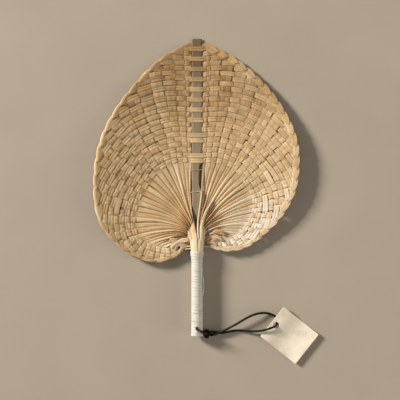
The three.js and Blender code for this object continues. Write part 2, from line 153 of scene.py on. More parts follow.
EDGES = {
    side: {
        "inner": [(SPINE_SIDE, WEAVE_FROM), *INNER_POINTS[side]],
        "outer": [(SPINE_SIDE, WEAVE_TOP), *OUTLINE_POINTS[side]],
    }
    for side in SIDES
}


@functools.lru_cache(maxsize=None)
def edge_points(side, station):
    station = min(1.0, max(0.0, station))
    return spline_point(EDGES[side]["inner"], station), spline_point(EDGES[side]["outer"], station)


def weave_reach(side, station):
    inner, outer = edge_points(side, station)
    return (outer - inner).length


def height_at(x, y):
    """Height of the middle of the blade over the table."""
    out = max(0.0, abs(x) - SPINE_SIDE)
    bearing = math.degrees(math.atan2(out, y))
    return WEAVE_MIDDLE + DISH_RISE * (out / DISH_REACH) ** 2 + LOBE_RISE * smoothstep(bearing, *LOBE_ANGLES)


def normal_at(x, y):
    reach = 0.5
    slope_x = (height_at(x + reach, y) - height_at(x - reach, y)) / (2 * reach)
    slope_y = (height_at(x, y + reach) - height_at(x, y - reach)) / (2 * reach)
    return Vector((-slope_x, -slope_y, 1)).normalized()


def spot(side, station, distance):
    """A point on the middle of the blade, a distance out from the inner edge along a strip."""
    inner, outer = edge_points(side, station)
    flat = inner.lerp(outer, distance / (outer - inner).length)
    x = SIDES[side] * flat.x
    return Vector((x, flat.y, height_at(x, flat.y)))


def station_of(strip):
    return FIRST_STRIP + strip * STRIP_STEP


def strips_passed(station):
    return (station - FIRST_STRIP) / STRIP_STEP


def weft_pitch(station):
    return lerp(*WEFT_PITCH, station)


def strip_room(side, station, distance):
    """The room between the middles of neighbouring strips."""
    half = STRIP_STEP / 2
    across = spot(side, station + half, distance) - spot(side, max(station - half, 0), distance)
    along = spot(side, station, distance + 1) - spot(side, station, distance)
    return across.cross(along.normalized()).length


def wave(turns):
    """Up and down once every two crossings, with flat tops."""
    return math.tanh(WAVE_FLATNESS * math.cos(math.pi * turns)) / math.tanh(WAVE_FLATNESS)


def spine_height(y):
    return lerp(HANDLE_HEIGHT, WEAVE_MIDDLE, smoothstep(y, *SPINE_FALL))


# Skins and meshes

SKIN_VALUES = ("tone", "along", "across", "root", "pale", "valley_shade")
SKIN_CREASE = 50.0
LOOP_CREASE = 60.0

# Section of a leaf strip, as shares of its half width
ACROSS = (-1.0, -0.6, -0.12, 0.0, 0.12, 0.6, 1.0)
LEAF_ACROSS = [*ACROSS, *ACROSS[::-1]]
LENS_CORNERS = 10


class Skin:
    """A closed skin over rings of points, with what its material reads at each point."""

    def __init__(self, tone=0.5):
        self.tone = tone
        self.rings = []
        self.values = {key: [] for key in SKIN_VALUES}

    def add(self, ring, across, along, root=0.0, pale=0.0, valley_shade=0.0):
        """One more ring, whose values are a number for all its corners or a list of theirs."""
        self.rings.append(ring)
        for key, value in zip(SKIN_VALUES, (self.tone, along * MM, across, root, pale, valley_shade)):
            self.values[key] += value if isinstance(value, list) else [value] * len(ring)


def square_axes(along, normal):
    """The directions across a path and off its face."""
    across = along.cross(normal).normalized()
    return across, across.cross(along).normalized()


def leaf_ring(centre, along, normal, width, thickness=LEAF_THICKNESS, crown=LEAF_CROWN, fold=0.0, lean=0.0,
              groove=0.0, skew=0.0, power=2, lip=0.0):
    """A leaf strip's section: crowned, grooved along its middle, or folded up there where it is pleated."""
    across, face = square_axes(along, normal)
    top, bottom = [], []
    for share in ACROSS:
        rise = crown * (1 - abs(share) ** power) + fold * (1 - abs(share))
        if share == 0:
            rise -= groove
        if share == ACROSS[-1]:
            rise -= lip
        shift = share * width / 2 + lean * fold * (1 - abs(share))
        place = centre + across * shift + face * rise + along * (skew * share)
        top.append(place + face * thickness / 2)
        bottom.append(place - face * thickness / 2)
    return top + bottom[::-1]


def lens_turns(corners):
    return [math.pi - TURN * corner / corners for corner in range(corners)]


def lens_across(corners=LENS_CORNERS):
    return [math.cos(turn) for turn in lens_turns(corners)]


def lens_ring(centre, along, normal, width, thickness, corners=LENS_CORNERS):
    """A rounded section, thickest in its middle."""
    across, face = square_axes(along, normal)
    return [centre + across * (math.cos(turn) * width / 2) + face * (math.sin(turn) * thickness / 2)
            for turn in lens_turns(corners)]


def tube_rings(places, radius, corners=12, normal=UP):
    """Rings of a tube round a closed path."""
    turns = [TURN * corner / corners for corner in range(corners)]
    rings = []
    for index, place in enumerate(places):
        along = (places[(index + 1) % len(places)] - places[index - 1]).normalized()
        side, lift = square_axes(along, normal)
        rings.append([place + side * (radius * math.cos(t)) + lift * (radius * math.sin(t)) for t in turns])
    return rings


def heading(places, index):
    """The direction of a path at one of its places."""
    return (places[min(index + 1, len(places) - 1)] - places[max(index - 1, 0)]).normalized()


def walk(places):
    """Each place of a path, with its share of the way and the direction there."""
    for index, place in enumerate(places):
        yield index / (len(places) - 1), place, heading(places, index)


def path_lengths(places):
    """How far along a path each of its places is."""
    lengths = [0.0]
    for before, here in zip(places, places[1:]):
        lengths.append(lengths[-1] + (here - before).length)
    return lengths


def band_faces(first, count, corners, closed=False):
    """Faces between neighbouring rings; a closed band runs on from its last ring to its first."""
    faces = []
    for row in range(count if closed else count - 1):
        here = first + row * corners
        ahead = first + (row + 1) % count * corners
        for corner in range(corners):
            beside = (corner + 1) % corners
            faces.append((here + corner, here + beside, ahead + beside, ahead + corner))
    return faces


def smooth_mesh(name, points, faces, crease):
    """A smooth mesh in the frame, sharp where its faces turn by more than the crease."""
    mesh = bpy.data.meshes.new(name)
    mesh.from_pydata([to_frame(point) for point in points], [], faces)
    mesh.shade_smooth()
    mesh.set_sharp_from_angle(angle=math.radians(crease))
    return mesh


def skin_mesh(name, skins):
    """One mesh from several skins, with the values of each at its points."""
    points, faces = [], []
    for skin in skins:
        first, corners = len(points), len(skin.rings[0])
        points += [point for ring in skin.rings for point in ring]
        last = len(points) - corners
        faces += band_faces(first, len(skin.rings), corners)
        faces.append(tuple(range(first + corners - 1, first - 1, -1)))
        faces.append(tuple(range(last, last + corners)))
    mesh = smooth_mesh(name, points, faces, SKIN_CREASE)
    for key in SKIN_VALUES:
        numbers = [number for skin in skins for number in skin.values[key]]
        mesh.attributes.new(key, "FLOAT", "POINT").data.foreach_set("value", numbers)
    return mesh


def loop_mesh(name, loops):
    """A mesh from rings that close both ways, with corners that run the other way round than a skin's."""
    points, faces = [], []
    for rings in loops:
        bands = band_faces(len(points), len(rings), len(rings[0]), closed=True)
        faces += [(a, d, c, b) for a, b, c, d in bands]
        points += [point for ring in rings for point in ring]
    return smooth_mesh(name, points, faces, LOOP_CREASE)


def add_object(name, data):
    thing = bpy.data.objects.new(name, data)
    bpy.context.scene.collection.objects.link(thing)
    return thing


def piece(name, data, material, replaces, body="fan"):
    """A new piece of the object, riding on its body in place of some of the solids."""
    data.materials.append(material)
    thing = add_object(name, data)
    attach(thing, body)
    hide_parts(*replaces)
    return thing


# Materials

LEAF_ROOT = (0.42, 0.2, 0.06)
LEAF_CREAM = (0.76, 0.69, 0.565)
LEAF_WEATHERED = (0.46, 0.365, 0.255)

# Darkening on the rib, a stain at its cut end and painted shade in the neck: where they start and end, their
# share there, and colour
SPINE_STAIN_AND_SHADE = [
    ((175.0, 205.0), (0.0, 0.72), (0.1, 0.06, 0.03)),
    # painted shade where the rib goes in between the neck strands
    ((5.0, 24.0), (0.7, 0.0), (0.05, 0.03, 0.016)),
]


class Nodes:
    """A short way to write a material's nodes."""

    def __init__(self, name):
        self.material = bpy.data.materials.new(name)
        self.material.use_nodes = True
        self.tree = self.material.node_tree
        self.shader = self.tree.nodes["Principled BSDF"]

    def feed(self, socket, value):
        """A number or colour is set on the socket itself, and another node's output is linked to it."""
        if isinstance(value, (int, float)):
            socket.default_value = value
        elif isinstance(value, tuple):
            socket.default_value = (*value, 1)
        else:
            self.tree.links.new(value, socket)

    def add(self, kind, inputs, output=0, **settings):
        """A new node's output, with its inputs fed by their names or numbers."""
        node = self.tree.nodes.new("ShaderNode" + kind)
        for key, setting in settings.items():
            setattr(node, key, setting)
        for key, value in inputs.items():
            self.feed(node.inputs[key], value)
        return node.outputs[output]

    def attribute(self, name):
        return self.add("Attribute", {}, "Fac", attribute_name=name)

    def place(self):
        return self.add("TexCoord", {}, "Object")

    def math(self, operation, *values):
        return self.add("Math", dict(enumerate(values)), operation=operation)

    def times(self, first, second):
        return self.math("MULTIPLY", first, second)

    def total(self, *parts):
        """The sum of several values, each times its weight."""
        weighted = [self.times(value, weight) for value, weight in parts]
        return functools.reduce(lambda first, second: self.math("ADD", first, second), weighted)

    def vector(self, *parts):
        return self.add("CombineXYZ", dict(enumerate(parts)))

    def noise(self, vector, scale, detail=3.0, roughness=0.55):
        inputs = {"Vector": vector, "Scale": scale, "Detail": detail, "Roughness": roughness}
        return self.add("TexNoise", inputs, "Fac")

    def fibres(self, fineness, run, lane, roughness):
        """Streaks along a strip, which differ from lane to lane."""
        across = self.times(self.attribute("across"), fineness)
        along = self.times(self.attribute("along"), run)
        return self.noise(self.vector(across, along, lane), 1.0, 4.0, roughness)

    def ramp(self, value, *stops):
        colour = self.add("ValToRGB", {"Fac": value}, "Color")
        elements = colour.node.color_ramp.elements
        while len(elements) < len(stops):
            elements.new(0.5)
        for element, (place, tint) in zip(elements, stops):
            element.position = place
            element.color = (*tint, 1)
        return colour

    def mix(self, share, first, second, blend="MIX"):
        return self.add("Mix", {0: share, 6: first, 7: second}, 2, data_type="RGBA", blend_type=blend)

    def spread(self, value, span, onto):
        """A value taken from one span onto another, and held at its ends."""
        return self.add("MapRange", dict(enumerate((value, *span, *onto))))

    def bump(self, height, strength, distance):
        inputs = {"Height": height, "Strength": strength, "Distance": distance}
        self.feed(self.shader.inputs["Normal"], self.add("Bump", inputs))

    def finish(self, colour, roughness, specular):
        inputs = {"Base Color": colour, "Roughness": roughness, "Specular IOR Level": specular}
        for key, value in inputs.items():
            self.feed(self.shader.inputs[key], value)
        return self.material


def leaf_painted_shade(nodes, across):
    """Painted shade: dark, warm lines along a strip's edges and fold, and in the valleys between pleats."""
    reach = nodes.math("ABSOLUTE", across)
    edge = nodes.spread(reach, (0.85, 1.0), (1.0, 0.5))
    fold = nodes.spread(reach, (0.0, 0.1), (0.72, 1.0))
    valley_shade = nodes.times(nodes.attribute("valley_shade"), nodes.spread(reach, (0.45, 1.0), (0.0, 1.0)))
    line = nodes.times(nodes.times(edge, fold), nodes.math("SUBTRACT", 1.0, valley_shade))
    return nodes.vector(line, nodes.math("POWER", line, 1.25), nodes.math("POWER", line, 1.6))


def leaf_material(name, dark, middle, light):
    """Dried leaf: fibres along it, its own tone, blotches, painted shade along its edges and fold, and
    browner by the root.
    """
    nodes = Nodes(name)
    tone, along, across = [nodes.attribute(key) for key in ("tone", "along", "across")]
    lane = nodes.times(tone, 91.0)
    fibre = nodes.fibres(fineness=7.0, run=45.0, lane=lane, roughness=0.65)
    blotch = nodes.noise(nodes.place(), scale=100.0)
    fold_side = nodes.times(nodes.math("SIGN", across), 3.1)
    half = nodes.noise(nodes.vector(lane, fold_side, 0.5), scale=1.0, detail=1.0)
    pale = nodes.attribute("pale")
    shade = nodes.total((fibre, 0.44), (blotch, 0.3), (tone, 0.22), (half, 0.12), (pale, 1.0))
    colour = nodes.ramp(shade, (0.33, dark), (0.53, middle), (0.74, light), (1.0, LEAF_CREAM))
    warm = nodes.noise(nodes.vector(lane, nodes.times(along, 22.0), 3.0), scale=1.0, detail=2.0)
    colour = nodes.mix(nodes.spread(warm, (0.5, 0.8), (0.0, 0.4)), colour, LEAF_ROOT)
    weather = nodes.noise(nodes.place(), scale=24.0, detail=2.0)
    colour = nodes.mix(nodes.spread(weather, (0.45, 0.7), (0.0, 0.22)), colour, LEAF_WEATHERED)
    # the root value also carries painted shade over the rim tabs' hidden starts
    root = nodes.times(nodes.attribute("root"), nodes.spread(fibre, (0.3, 0.7), (0.95, 0.4)))
    colour = nodes.mix(root, colour, LEAF_ROOT)
    # painted shade along strip edges and folds, and in the pleat valleys
    colour = nodes.mix(1.0, colour, leaf_painted_shade(nodes, across), "MULTIPLY")
    nodes.bump(fibre, strength=0.35, distance=0.00025)
    return nodes.finish(colour, nodes.spread(fibre, (0.3, 0.7), (0.6, 0.8)), specular=0.16)


def spine_material():
    """Weathered rib: grey-brown grain along it, darker towards its cut end, and painted shade where it goes
    into the neck.
    """
    nodes = Nodes("spine_rib")
    fibre = nodes.fibres(fineness=12.0, run=30.0, lane=1.0, roughness=0.7)
    shade = nodes.total((fibre, 0.7), (nodes.noise(nodes.place(), scale=55.0), 0.3))
    colour = nodes.ramp(shade, (0.3, (0.11, 0.075, 0.043)), (0.5, (0.25, 0.183, 0.112)),
                        (0.72, (0.38, 0.29, 0.185)))
    for ends, shares, tint in SPINE_STAIN_AND_SHADE:
        span = [(y - SPINE_LOW) * MM for y in ends]
        colour = nodes.mix(nodes.spread(nodes.attribute("along"), span, shares), colour, tint)
    nodes.bump(fibre, strength=0.5, distance=0.0004)
    return nodes.finish(colour, roughness=0.6, specular=0.3)


def tape_material():
    """Pale split leaf, darker along the edges of the tape."""
    nodes = Nodes("handle_tape")
    fibre = nodes.fibres(fineness=4.0, run=40.0, lane=5.0, roughness=0.6)
    shade = nodes.total((fibre, 0.6), (nodes.noise(nodes.place(), scale=120.0), 0.4))
    colour = nodes.ramp(shade, (0.3, (0.46, 0.4, 0.305)), (0.5, (0.58, 0.555, 0.488)),
                        (0.7, (0.615, 0.6, 0.545)))
    reach = nodes.math("ABSOLUTE", nodes.attribute("across"))
    edge = nodes.spread(reach, (0.75, 1.0), (1.0, 0.74))
    colour = nodes.mix(1.0, colour, nodes.vector(edge, edge, edge), "MULTIPLY")
    nodes.bump(fibre, strength=0.3, distance=0.0002)
    return nodes.finish(colour, roughness=0.55, specular=0.3)


def grain_material(name, cloud, grain, stops, bump, roughness, specular, fleck=0.0):
    """A plain surface with a clouded colour and a fine grain; cloud and grain are a scale and a detail."""
    nodes = Nodes(name)
    clouds = nodes.noise(nodes.place(), *cloud)
    grains = nodes.noise(nodes.place(), *grain)
    shade = nodes.total((clouds, 1 - fleck), (grains, fleck)) if fleck else clouds
    if isinstance(roughness, tuple):
        roughness = nodes.spread(grains, (0.3, 0.7), roughness)
    nodes.bump(grains, *bump)
    return nodes.finish(nodes.ramp(shade, *stops), roughness, specular)


def stick_material():
    return grain_material(
        "stalk", cloud=(260.0, 4.0), grain=(260.0, 4.0),
        stops=[(0.3, (0.36, 0.26, 0.15)), (0.7, (0.6, 0.49, 0.34))],
        bump=(0.4, 0.0003), roughness=0.65, specular=0.3)


def thread_material():
    return grain_material(
        "thread", cloud=(1500.0, 3.0), grain=(1500.0, 3.0),
        stops=[(0.3, (0.42, 0.31, 0.19)), (0.7, (0.66, 0.55, 0.39))],
        bump=(0.5, 0.0002), roughness=0.75, specular=0.2)


def cord_material():
    return grain_material(
        "cord_leather", cloud=(60.0, 3.0), grain=(900.0, 4.0),
        stops=[(0.35, (0.005, 0.0042, 0.0036)), (0.6, (0.011, 0.009, 0.007)), (0.75, (0.03, 0.02, 0.013))],
        bump=(0.4, 0.00015), roughness=(0.5, 0.7), specular=0.22)


def card_material():
    return grain_material(
        "tag_card", cloud=(45.0, 4.0), grain=(900.0, 2.0), fleck=0.2,
        stops=[(0.32, (0.58, 0.49, 0.36)), (0.5, (0.73, 0.65, 0.52)), (0.68, (0.82, 0.745, 0.62))],
        bump=(0.25, 0.0002), roughness=0.8, specular=0.25)


def floor_material():
    return grain_material(
        "floor", cloud=(9.0, 5.0), grain=(420.0, 3.0),
        stops=[(0.3, (0.375, 0.325, 0.26)), (0.7, (0.405, 0.35, 0.285))],
        bump=(0.12, 0.0006), roughness=0.95, specular=0.0)


# Camera, light and floor

FRAME_WIDTH = 500.0
FRAME_CENTRE = (3.75, 40.0)
CAMERA_HEIGHT = 1900.0
CAMERA_SENSOR = 36.0
CAMERA_CLIP_END = 20.0
BACKDROP_COLOUR = (1.0, 0.97, 0.93)
BACKDROP_STRENGTH = 0.15
FLOOR_HALF = 2.5


def add_camera():
    data = bpy.data.cameras.new("camera")
    data.sensor_width = CAMERA_SENSOR
    data.lens = CAMERA_SENSOR * CAMERA_HEIGHT / FRAME_WIDTH
    data.clip_end = CAMERA_CLIP_END
    camera = add_object("camera", data)
    camera.location = to_frame((*FRAME_CENTRE, CAMERA_HEIGHT))
    bpy.context.scene.camera = camera


def add_lamp(name, place, target, size, power, colour):
    data = bpy.data.lights.new(name, "AREA")
    data.size = size
    data.energy = power
    data.color = colour
    lamp = add_object(name, data)
    lamp.location = to_frame(place)
    aim = to_frame(target) - lamp.location
    lamp.rotation_euler = aim.to_track_quat("-Z", "Y").to_euler()


def add_light():
    add_lamp("key", place=(-4000, 2270, 2065), target=(0, 40, 0), size=0.96, power=462.0,
             colour=(1.0, 0.95, 0.88))
    add_lamp("fill", place=(200, -300, 2200), target=(0, 30, 0), size=1.6, power=6.0,
             colour=(1.0, 0.96, 0.91))
    add_lamp("bounce", place=(2100, -700, 600), target=(0, 0, 0), size=1.6, power=27.0,
             colour=(1.0, 0.92, 0.8))
    world = bpy.data.worlds.new("studio")
    world.use_nodes = True
    backdrop = world.node_tree.nodes["Background"]
    backdrop.inputs["Color"].default_value = (*BACKDROP_COLOUR, 1)
    backdrop.inputs["Strength"].default_value = BACKDROP_STRENGTH
    bpy.context.scene.world = world


def add_floor():
    corners = [(x * FLOOR_HALF, y * FLOOR_HALF, 0) for x, y in ((-1, -1), (1, -1), (1, 1), (-1, 1))]
    mesh = bpy.data.meshes.new("floor")
    mesh.from_pydata(corners, [], [(0, 1, 2, 3)])
    mesh.materials.append(floor_material())
    add_object("floor", mesh)


# Cord, knot and tag

KNOT_PLACE = (13.24, -126.8, 4.44)
KNOT_BEARING = math.radians(-28)
KNOT_SIZE = 4.3
KNOT_DEPTH = 0.42
KNOT_SWELL = 1.25
KNOT_END_SWELL = 1.06
KNOT_OPENING = 0.3
KNOT_RINGS = 120
KNOT_CORNERS = 12
TAG_HOLE = (98.9, -115.75)
TAG_BEARING = math.radians(-38.5)
TAG_LENGTH = 56.0
TAG_WIDTH = 47.0
TAG_THICKNESS = 1.2
TAG_CORNER = 1.2
TAG_LEAST_CORNER = 0.3
TAG_HOLE_RADIUS = 3.6
TAG_HOLE_FROM_EDGE = 6.9
TAG_LIFT = 3.9
TAG_REST = 23.0
TAG_CURL = 3.5
TAG_HOLE_RIM = 2.4
TAG_MARGIN = 1.1
TAG_FACE_RINGS = 8

# Sections of the tag's hole and edge: how far out from the hole or in from the edge, and off the face
TAG_HOLE_TOP = ((0.0, -0.25), (0.3, 0.12), (1.2, 0.12), (1.6, 0.0))
TAG_HOLE_UNDER = ((0.3, 0.0), (0.0, 0.25))
TAG_EDGE = ((0.35, 0.0), (0.1, 0.1), (0.0, 0.35))

LOOP_ROUTE = [
    (18.9, -128.4, 4.2), (24.5, -126.8, 4.7), (30, -124.6, 5.1), (36, -121.6, 5.6), (47.5, -115.5, 6.6),
    (61.1, -107.4, 7.4), (72, -102.6, 6.6), (81.5, -101, 4.4), (90, -101.9, 2.3), (97.3, -105.3, 1.5),
    (99.7, -109, 1.5), (100, -112.3, 2), (98.9, -115.6, 4.5), (96.9, -117.5, 7), (93.4, -118.9, 8.5),
    (86.5, -121.2, 8.7), (78.5, -123, 7.4), (70, -123.7, 5.4), (62, -123.4, 3.4), (53.5, -122.9, 2),
    (44, -123.6, 1.5), (36, -125.2, 1.5), (30, -126, 1.5), (24.5, -125.4, 1.7), (18.8, -124.4, 2.4),
]
EYE_ROUTE = [
    (13.8, 9.4), (13.8, 12), (13.8, 14.6), (12.9, 18), (10.4, 20.6), (6.9, 21.5), (3.4, 20.6), (0.9, 18),
    (0, 14.6), (0, 10.6), (0, 6.9), (0.7, 4.2), (2.7, 2.3), (5.4, 1.6), (7.8, 1.6), (10.1, 1.7),
]


def eye_route():
    """The strand round the handle's end, in the upright plane from the hanging hole to the knot."""
    turn = Vector((math.cos(KNOT_BEARING), math.sin(KNOT_BEARING)))
    return [(out * turn.x, HANG_HOLE_Y + out * turn.y, height) for out, height in EYE_ROUTE]


def cord_curve(name, route, material, replaces):
    curve = bpy.data.curves.new(name, "CURVE")
    curve.dimensions = "3D"
    curve.bevel_depth = CORD_RADIUS * MM
    curve.bevel_resolution = 5
    curve.resolution_u = 10
    curve.use_fill_caps = True
    spline = curve.splines.new("BEZIER")
    spline.bezier_points.add(len(route) - 1)
    for knot, place in zip(spline.bezier_points, route):
        knot.co = to_frame(place)
        knot.handle_left_type = knot.handle_right_type = "AUTO"
    return piece(name, curve, material, [replaces], "cord")


def knot_place(middle, size, turn):
    """A place on an overhand knot drawn tight: a trefoil, with one lobe towards +X at half a turn."""
    x = size * (2 * math.cos(2 * turn) - math.cos(turn)) / 3
    y = size * (2 * math.sin(2 * turn) + math.sin(turn)) / 3
    return Vector(middle) + Vector((x, y, -KNOT_DEPTH * size * math.sin(3 * turn)))


def cord_knot_mesh():
    """The doubled cord's knot, open at one lobe, where its two ends run on into the loop's strands."""
    first, last = math.pi + KNOT_OPENING, 3 * math.pi - KNOT_OPENING
    turns = [lerp(first, last, step / KNOT_RINGS) for step in range(KNOT_RINGS + 1)]
    places = [knot_place(KNOT_PLACE, KNOT_SIZE, turn) for turn in turns]
    skin = Skin()
    for share, place, ahead in walk([Vector(LOOP_ROUTE[-1]), *places, Vector(LOOP_ROUTE[0])]):
        tube = 2 * CORD_RADIUS * (KNOT_END_SWELL if share in (0, 1) else KNOT_SWELL)
        skin.add(lens_ring(place, ahead, UP, tube, tube, KNOT_CORNERS), lens_across(KNOT_CORNERS), 0.0)
    return skin_mesh("cord_overhand_knot", [skin])


def card_outline(inset, edge_steps=8, corner_steps=4):
    """The card's edge, seen from its hole, moved in by an inset, with rounded corners."""
    corner = max(TAG_LEAST_CORNER, TAG_CORNER - inset)
    low = Vector((-TAG_HOLE_FROM_EDGE + inset + corner, -TAG_WIDTH / 2 + inset + corner))
    high = Vector((TAG_LENGTH - TAG_HOLE_FROM_EDGE - inset - corner, TAG_WIDTH / 2 - inset - corner))
    middles = [high, Vector((low.x, high.y)), low, Vector((high.x, low.y))]
    points = []
    for index, middle in enumerate(middles):
        for step in range(corner_steps + 1):
            angle = math.pi / 2 * (index + step / corner_steps)
            points.append(middle + Vector((math.cos(angle), math.sin(angle))) * corner)
        last = points[-1]
        following = middles[(index + 1) % 4] + (last - middle)
        points += [last.lerp(following, step / edge_steps) for step in range(1, edge_steps)]
    return points


def card_rise(x):
    """Height of the card's underside: propped up at its hole, down to the table, and curled up beyond."""
    beyond = max(0.0, x - TAG_REST) / (TAG_LENGTH - TAG_HOLE_FROM_EDGE - TAG_REST)
    return TAG_LIFT * (1 - smoothstep(x, 0, TAG_REST)) + TAG_CURL * beyond ** 2


def hole_ring(out):
    """A ring round the card's hole, with as many points as the card's edge."""
    return [point.normalized() * (TAG_HOLE_RADIUS + out) for point in card_outline(0)]


def card_face():
    """Rings over one face of the card, from round its hole out to its edge."""
    pairs = list(zip(hole_ring(TAG_HOLE_RIM), card_outline(TAG_MARGIN)))
    shares = [step / TAG_FACE_RINGS for step in range(TAG_FACE_RINGS + 1)]
    return [[inner.lerp(outer, share) for inner, outer in pairs] for share in shares]


def tag_mesh():
    """A plain card with softened edges, and a raised rim round its hole."""
    top = TAG_THICKNESS
    rings = [(hole_ring(out), top + rise) for out, rise in TAG_HOLE_TOP]
    rings += [(ring, top) for ring in card_face()]
    rings += [(card_outline(inset), top - drop) for inset, drop in TAG_EDGE]
    rings += [(card_outline(inset), rise) for inset, rise in TAG_EDGE[::-1]]
    rings += [(ring, 0.0) for ring in card_face()[::-1]]
    rings += [(hole_ring(out), rise) for out, rise in TAG_HOLE_UNDER]
    placing = Matrix.Translation((*TAG_HOLE, 0)) @ Matrix.Rotation(TAG_BEARING, 4, "Z")
    placed = [[placing @ Vector((*p, height + card_rise(p.x))) for p in ring] for ring, height in rings]
    return loop_mesh("plain_tag", [placed])


def add_cord():
    leather = cord_material()
    knot = piece("cord_overhand_knot", cord_knot_mesh(), leather, ["cord_knot"], "cord")
    loop = cord_curve("cord_tag_loop", LOOP_ROUTE, leather, "cord_loop")
    eye = cord_curve("cord_handle_eye", eye_route(), leather, "cord_eye")
    tag = piece("plain_tag", tag_mesh(), card_material(), ["tag_card"], "tag")


# Paleness of the leaf, partly painted light

LOWER_RIGHT = (0.36, 0.58)
LOBE_PALE = 0.13
LOBE_PALE_FROM = (0.68, 0.88)
TOP_DARK = 0.17
TOP_DARK_FROM = (110.0, 190.0)


def lower_right(side, station):
    """How far round to the lower right of the blade a place is, from nothing to one."""
    return smoothstep(station, *LOWER_RIGHT) if side == "right" else 0.0


def paleness(side, station, y, pale_and_light):
    """Paler to the lower right of the blade, partly paler leaf and partly painted light, paler at the end of
    the left lobe, and darker at the top.
    """
    lobe = LOBE_PALE * smoothstep(station, *LOBE_PALE_FROM) if side == "left" else 0.0
    return lobe + pale_and_light * lower_right(side, station) - TOP_DARK * smoothstep(y, *TOP_DARK_FROM)


# Pleats: places at the neck are out from the middle, up the spine and off the table, from spine to lobe

COLLAR = {
    "left": [(4.6, 10, 11.2), (7.2, 8, 11), (10.6, 4, 10), (12, -4, 9), (9.6, -15.5, 9)],
    "right": [(2.8, 10, 11.4), (6.4, 10, 11.2), (10.2, 6.5, 10), (11.8, 0, 9), (9.2, -12, 9)],
}
SHOULDER = {
    "left": [(10, 36, 6), (16, 34, 6), (24, 20, 5), (26, 3, 5), (19, -13.5, 7)],
    "right": [(4.6, 34, 7), (13, 32, 6), (22, 20, 5), (24, 6, 5), (18, -9.5, 7)],
}
COLLAR_TUCK = (1.2, 0.6, -1.0)
THROAT_Y = -6.0
THROAT_OUT = (0.9, 9.2)
THROAT_HALF = 9.6
THROAT_LOW = 11.2
THROAT_HEIGHT = 3.6
FOOT_Y = -27.5
FOOT_RADIUS = 6.3
FOOT_ANGLES = (6.0, 84.0)
OVER_SPINE = 1.25
BESIDE_SPINE = (7.0, 9.5)
PLEAT_ROOT_HALF = 0.95
PLEAT_RINGS = 18
PLEAT_LEVEL_AT = 0.6
NECK_RINGS = 10
BOUND_TO = 0.72
BOUND_FADE = (-0.25, 0.12)
BOUND_THICKNESS = 0.9
BOUND_CROWN = 0.55
STRAND_BROAD = {"left": 1.25, "right": 1.0}
RIGHT_STRANDS_BROAD = {0: 1.4, 3: 1.6, 6: 1.2}

# How high, leaning and brown the pleats are, and how dark their painted valley shade: ranges of chances, and
# where a change starts and ends
HIGH_LIFT = (1.1, 1.4)
LOW_LIFT = (0.4, 0.9)
LOBE_LIFT = {"left": 2.2, "right": 1.7}
LOBE_LIFT_FROM = (0.6, 0.8)
FOLD_FROM = (-0.1, 0.16)
FOLD_AT_WEAVE = 0.5
PLEAT_LEAN = (-0.3, 0.3)
PLEAT_SWAY = 0.16
PLEAT_WAVES = 9
PLEAT_PHASE = (0, 6.28)
PLEAT_GROOVE = 0.4
PLEAT_GROOVE_FROM = (0.1, 0.5)
PLEAT_BROWN = (0.1, 0.9)
PLEAT_BROWN_SHARE = {"left": 0.7, "right": 1.0}
PLEAT_BROWN_AT = (0.28, 0.15)
PLEAT_PALE = 0.12
PLEAT_PALE_AND_LIGHT = 0.17
VALLEY_SHADE = {"left": (0.65, 1.0), "right": (0.5, 0.9)}
VALLEY_SHADE_FROM = (-0.2, 0.1)
VALLEY_SHADE_AT_WEAVE = 0.45


def neck_place(points, side, share):
    out, y, z = spline_point(points[side], share)
    return Vector((SIDES[side] * out, y, z))


def foot_angle(share):
    return math.radians(lerp(*FOOT_ANGLES, share))


def foot_of(side, share):
    """Where a strip goes under the tape, on the round of the handle."""
    angle = foot_angle(share)
    x = SIDES[side] * FOOT_RADIUS * math.sin(angle)
    return Vector((x, FOOT_Y, HANDLE_HEIGHT + FOOT_RADIUS * math.cos(angle)))


def throat_of(side, share):
    out = lerp(*THROAT_OUT, share)
    rise = THROAT_HEIGHT * math.sqrt(1 - (out / THROAT_HALF) ** 2)
    return Vector((SIDES[side] * out, THROAT_Y, THROAT_LOW + rise))


def neck_stops(side, share):
    """From the tape up over the neck to the collar."""
    return [foot_of(side, share), throat_of(side, share), neck_place(COLLAR, side, share)]


def around(strip):
    """A strip's share of the way round from the spine to the lobe."""
    return strip / (STRIPS - 1)


def leads(strip):
    """Every third strip makes a high pleat, between lower ones."""
    return strip % STRIPS_PER_SEGMENT == 0


def is_bound(strip):
    """A high pleat runs on down the neck, except by the lobe; the others end under it."""
    return leads(strip) and strip < BOUND_TO * STRIPS


def over_spine_height(place):
    """The lowest that a strip may lie beside or over the spine."""
    return lerp(spine_height(place.y) + OVER_SPINE, 0, smoothstep(abs(place.x), *BESIDE_SPINE))


def pleat_place(side, strip, end, share):
    """A place on a pleat, by its share of the way from the collar to the weave."""
    collar = neck_place(COLLAR, side, around(strip))
    bend = neck_place(SHOULDER, side, around(strip))
    if not is_bound(strip):
        out, y, z = COLLAR_TUCK
        collar += Vector((SIDES[side] * out, y, z))
    place = collar * (1 - share) ** 2 + bend * (2 * share * (1 - share)) + end * share ** 2
    place.z = lerp(collar.z, end.z, smoothstep(share, 0, PLEAT_LEVEL_AT))
    place.z = max(place.z, over_spine_height(place))
    return place


def pleat_route(side, strip, end):
    """Shares and places from the neck to the weave; shares below nothing are on the neck itself."""
    route = []
    if is_bound(strip):
        places = spline_places(neck_stops(side, around(strip)), NECK_RINGS)[:-1]
        route = [(step / NECK_RINGS - 1, place) for step, place in enumerate(places)]
    for step in range(PLEAT_RINGS):
        share = step / PLEAT_RINGS
        route.append((share, pleat_place(side, strip, end, share)))
    return route


def pleat_normal(side, strip, share):
    """Square to the round of the handle at the foot, and straight up from the collar on."""
    low = max(0.0, -share)
    angle = foot_angle(around(strip))
    return Vector((SIDES[side] * math.sin(angle) * low, 0, math.cos(angle) * low + 1 - low)).normalized()


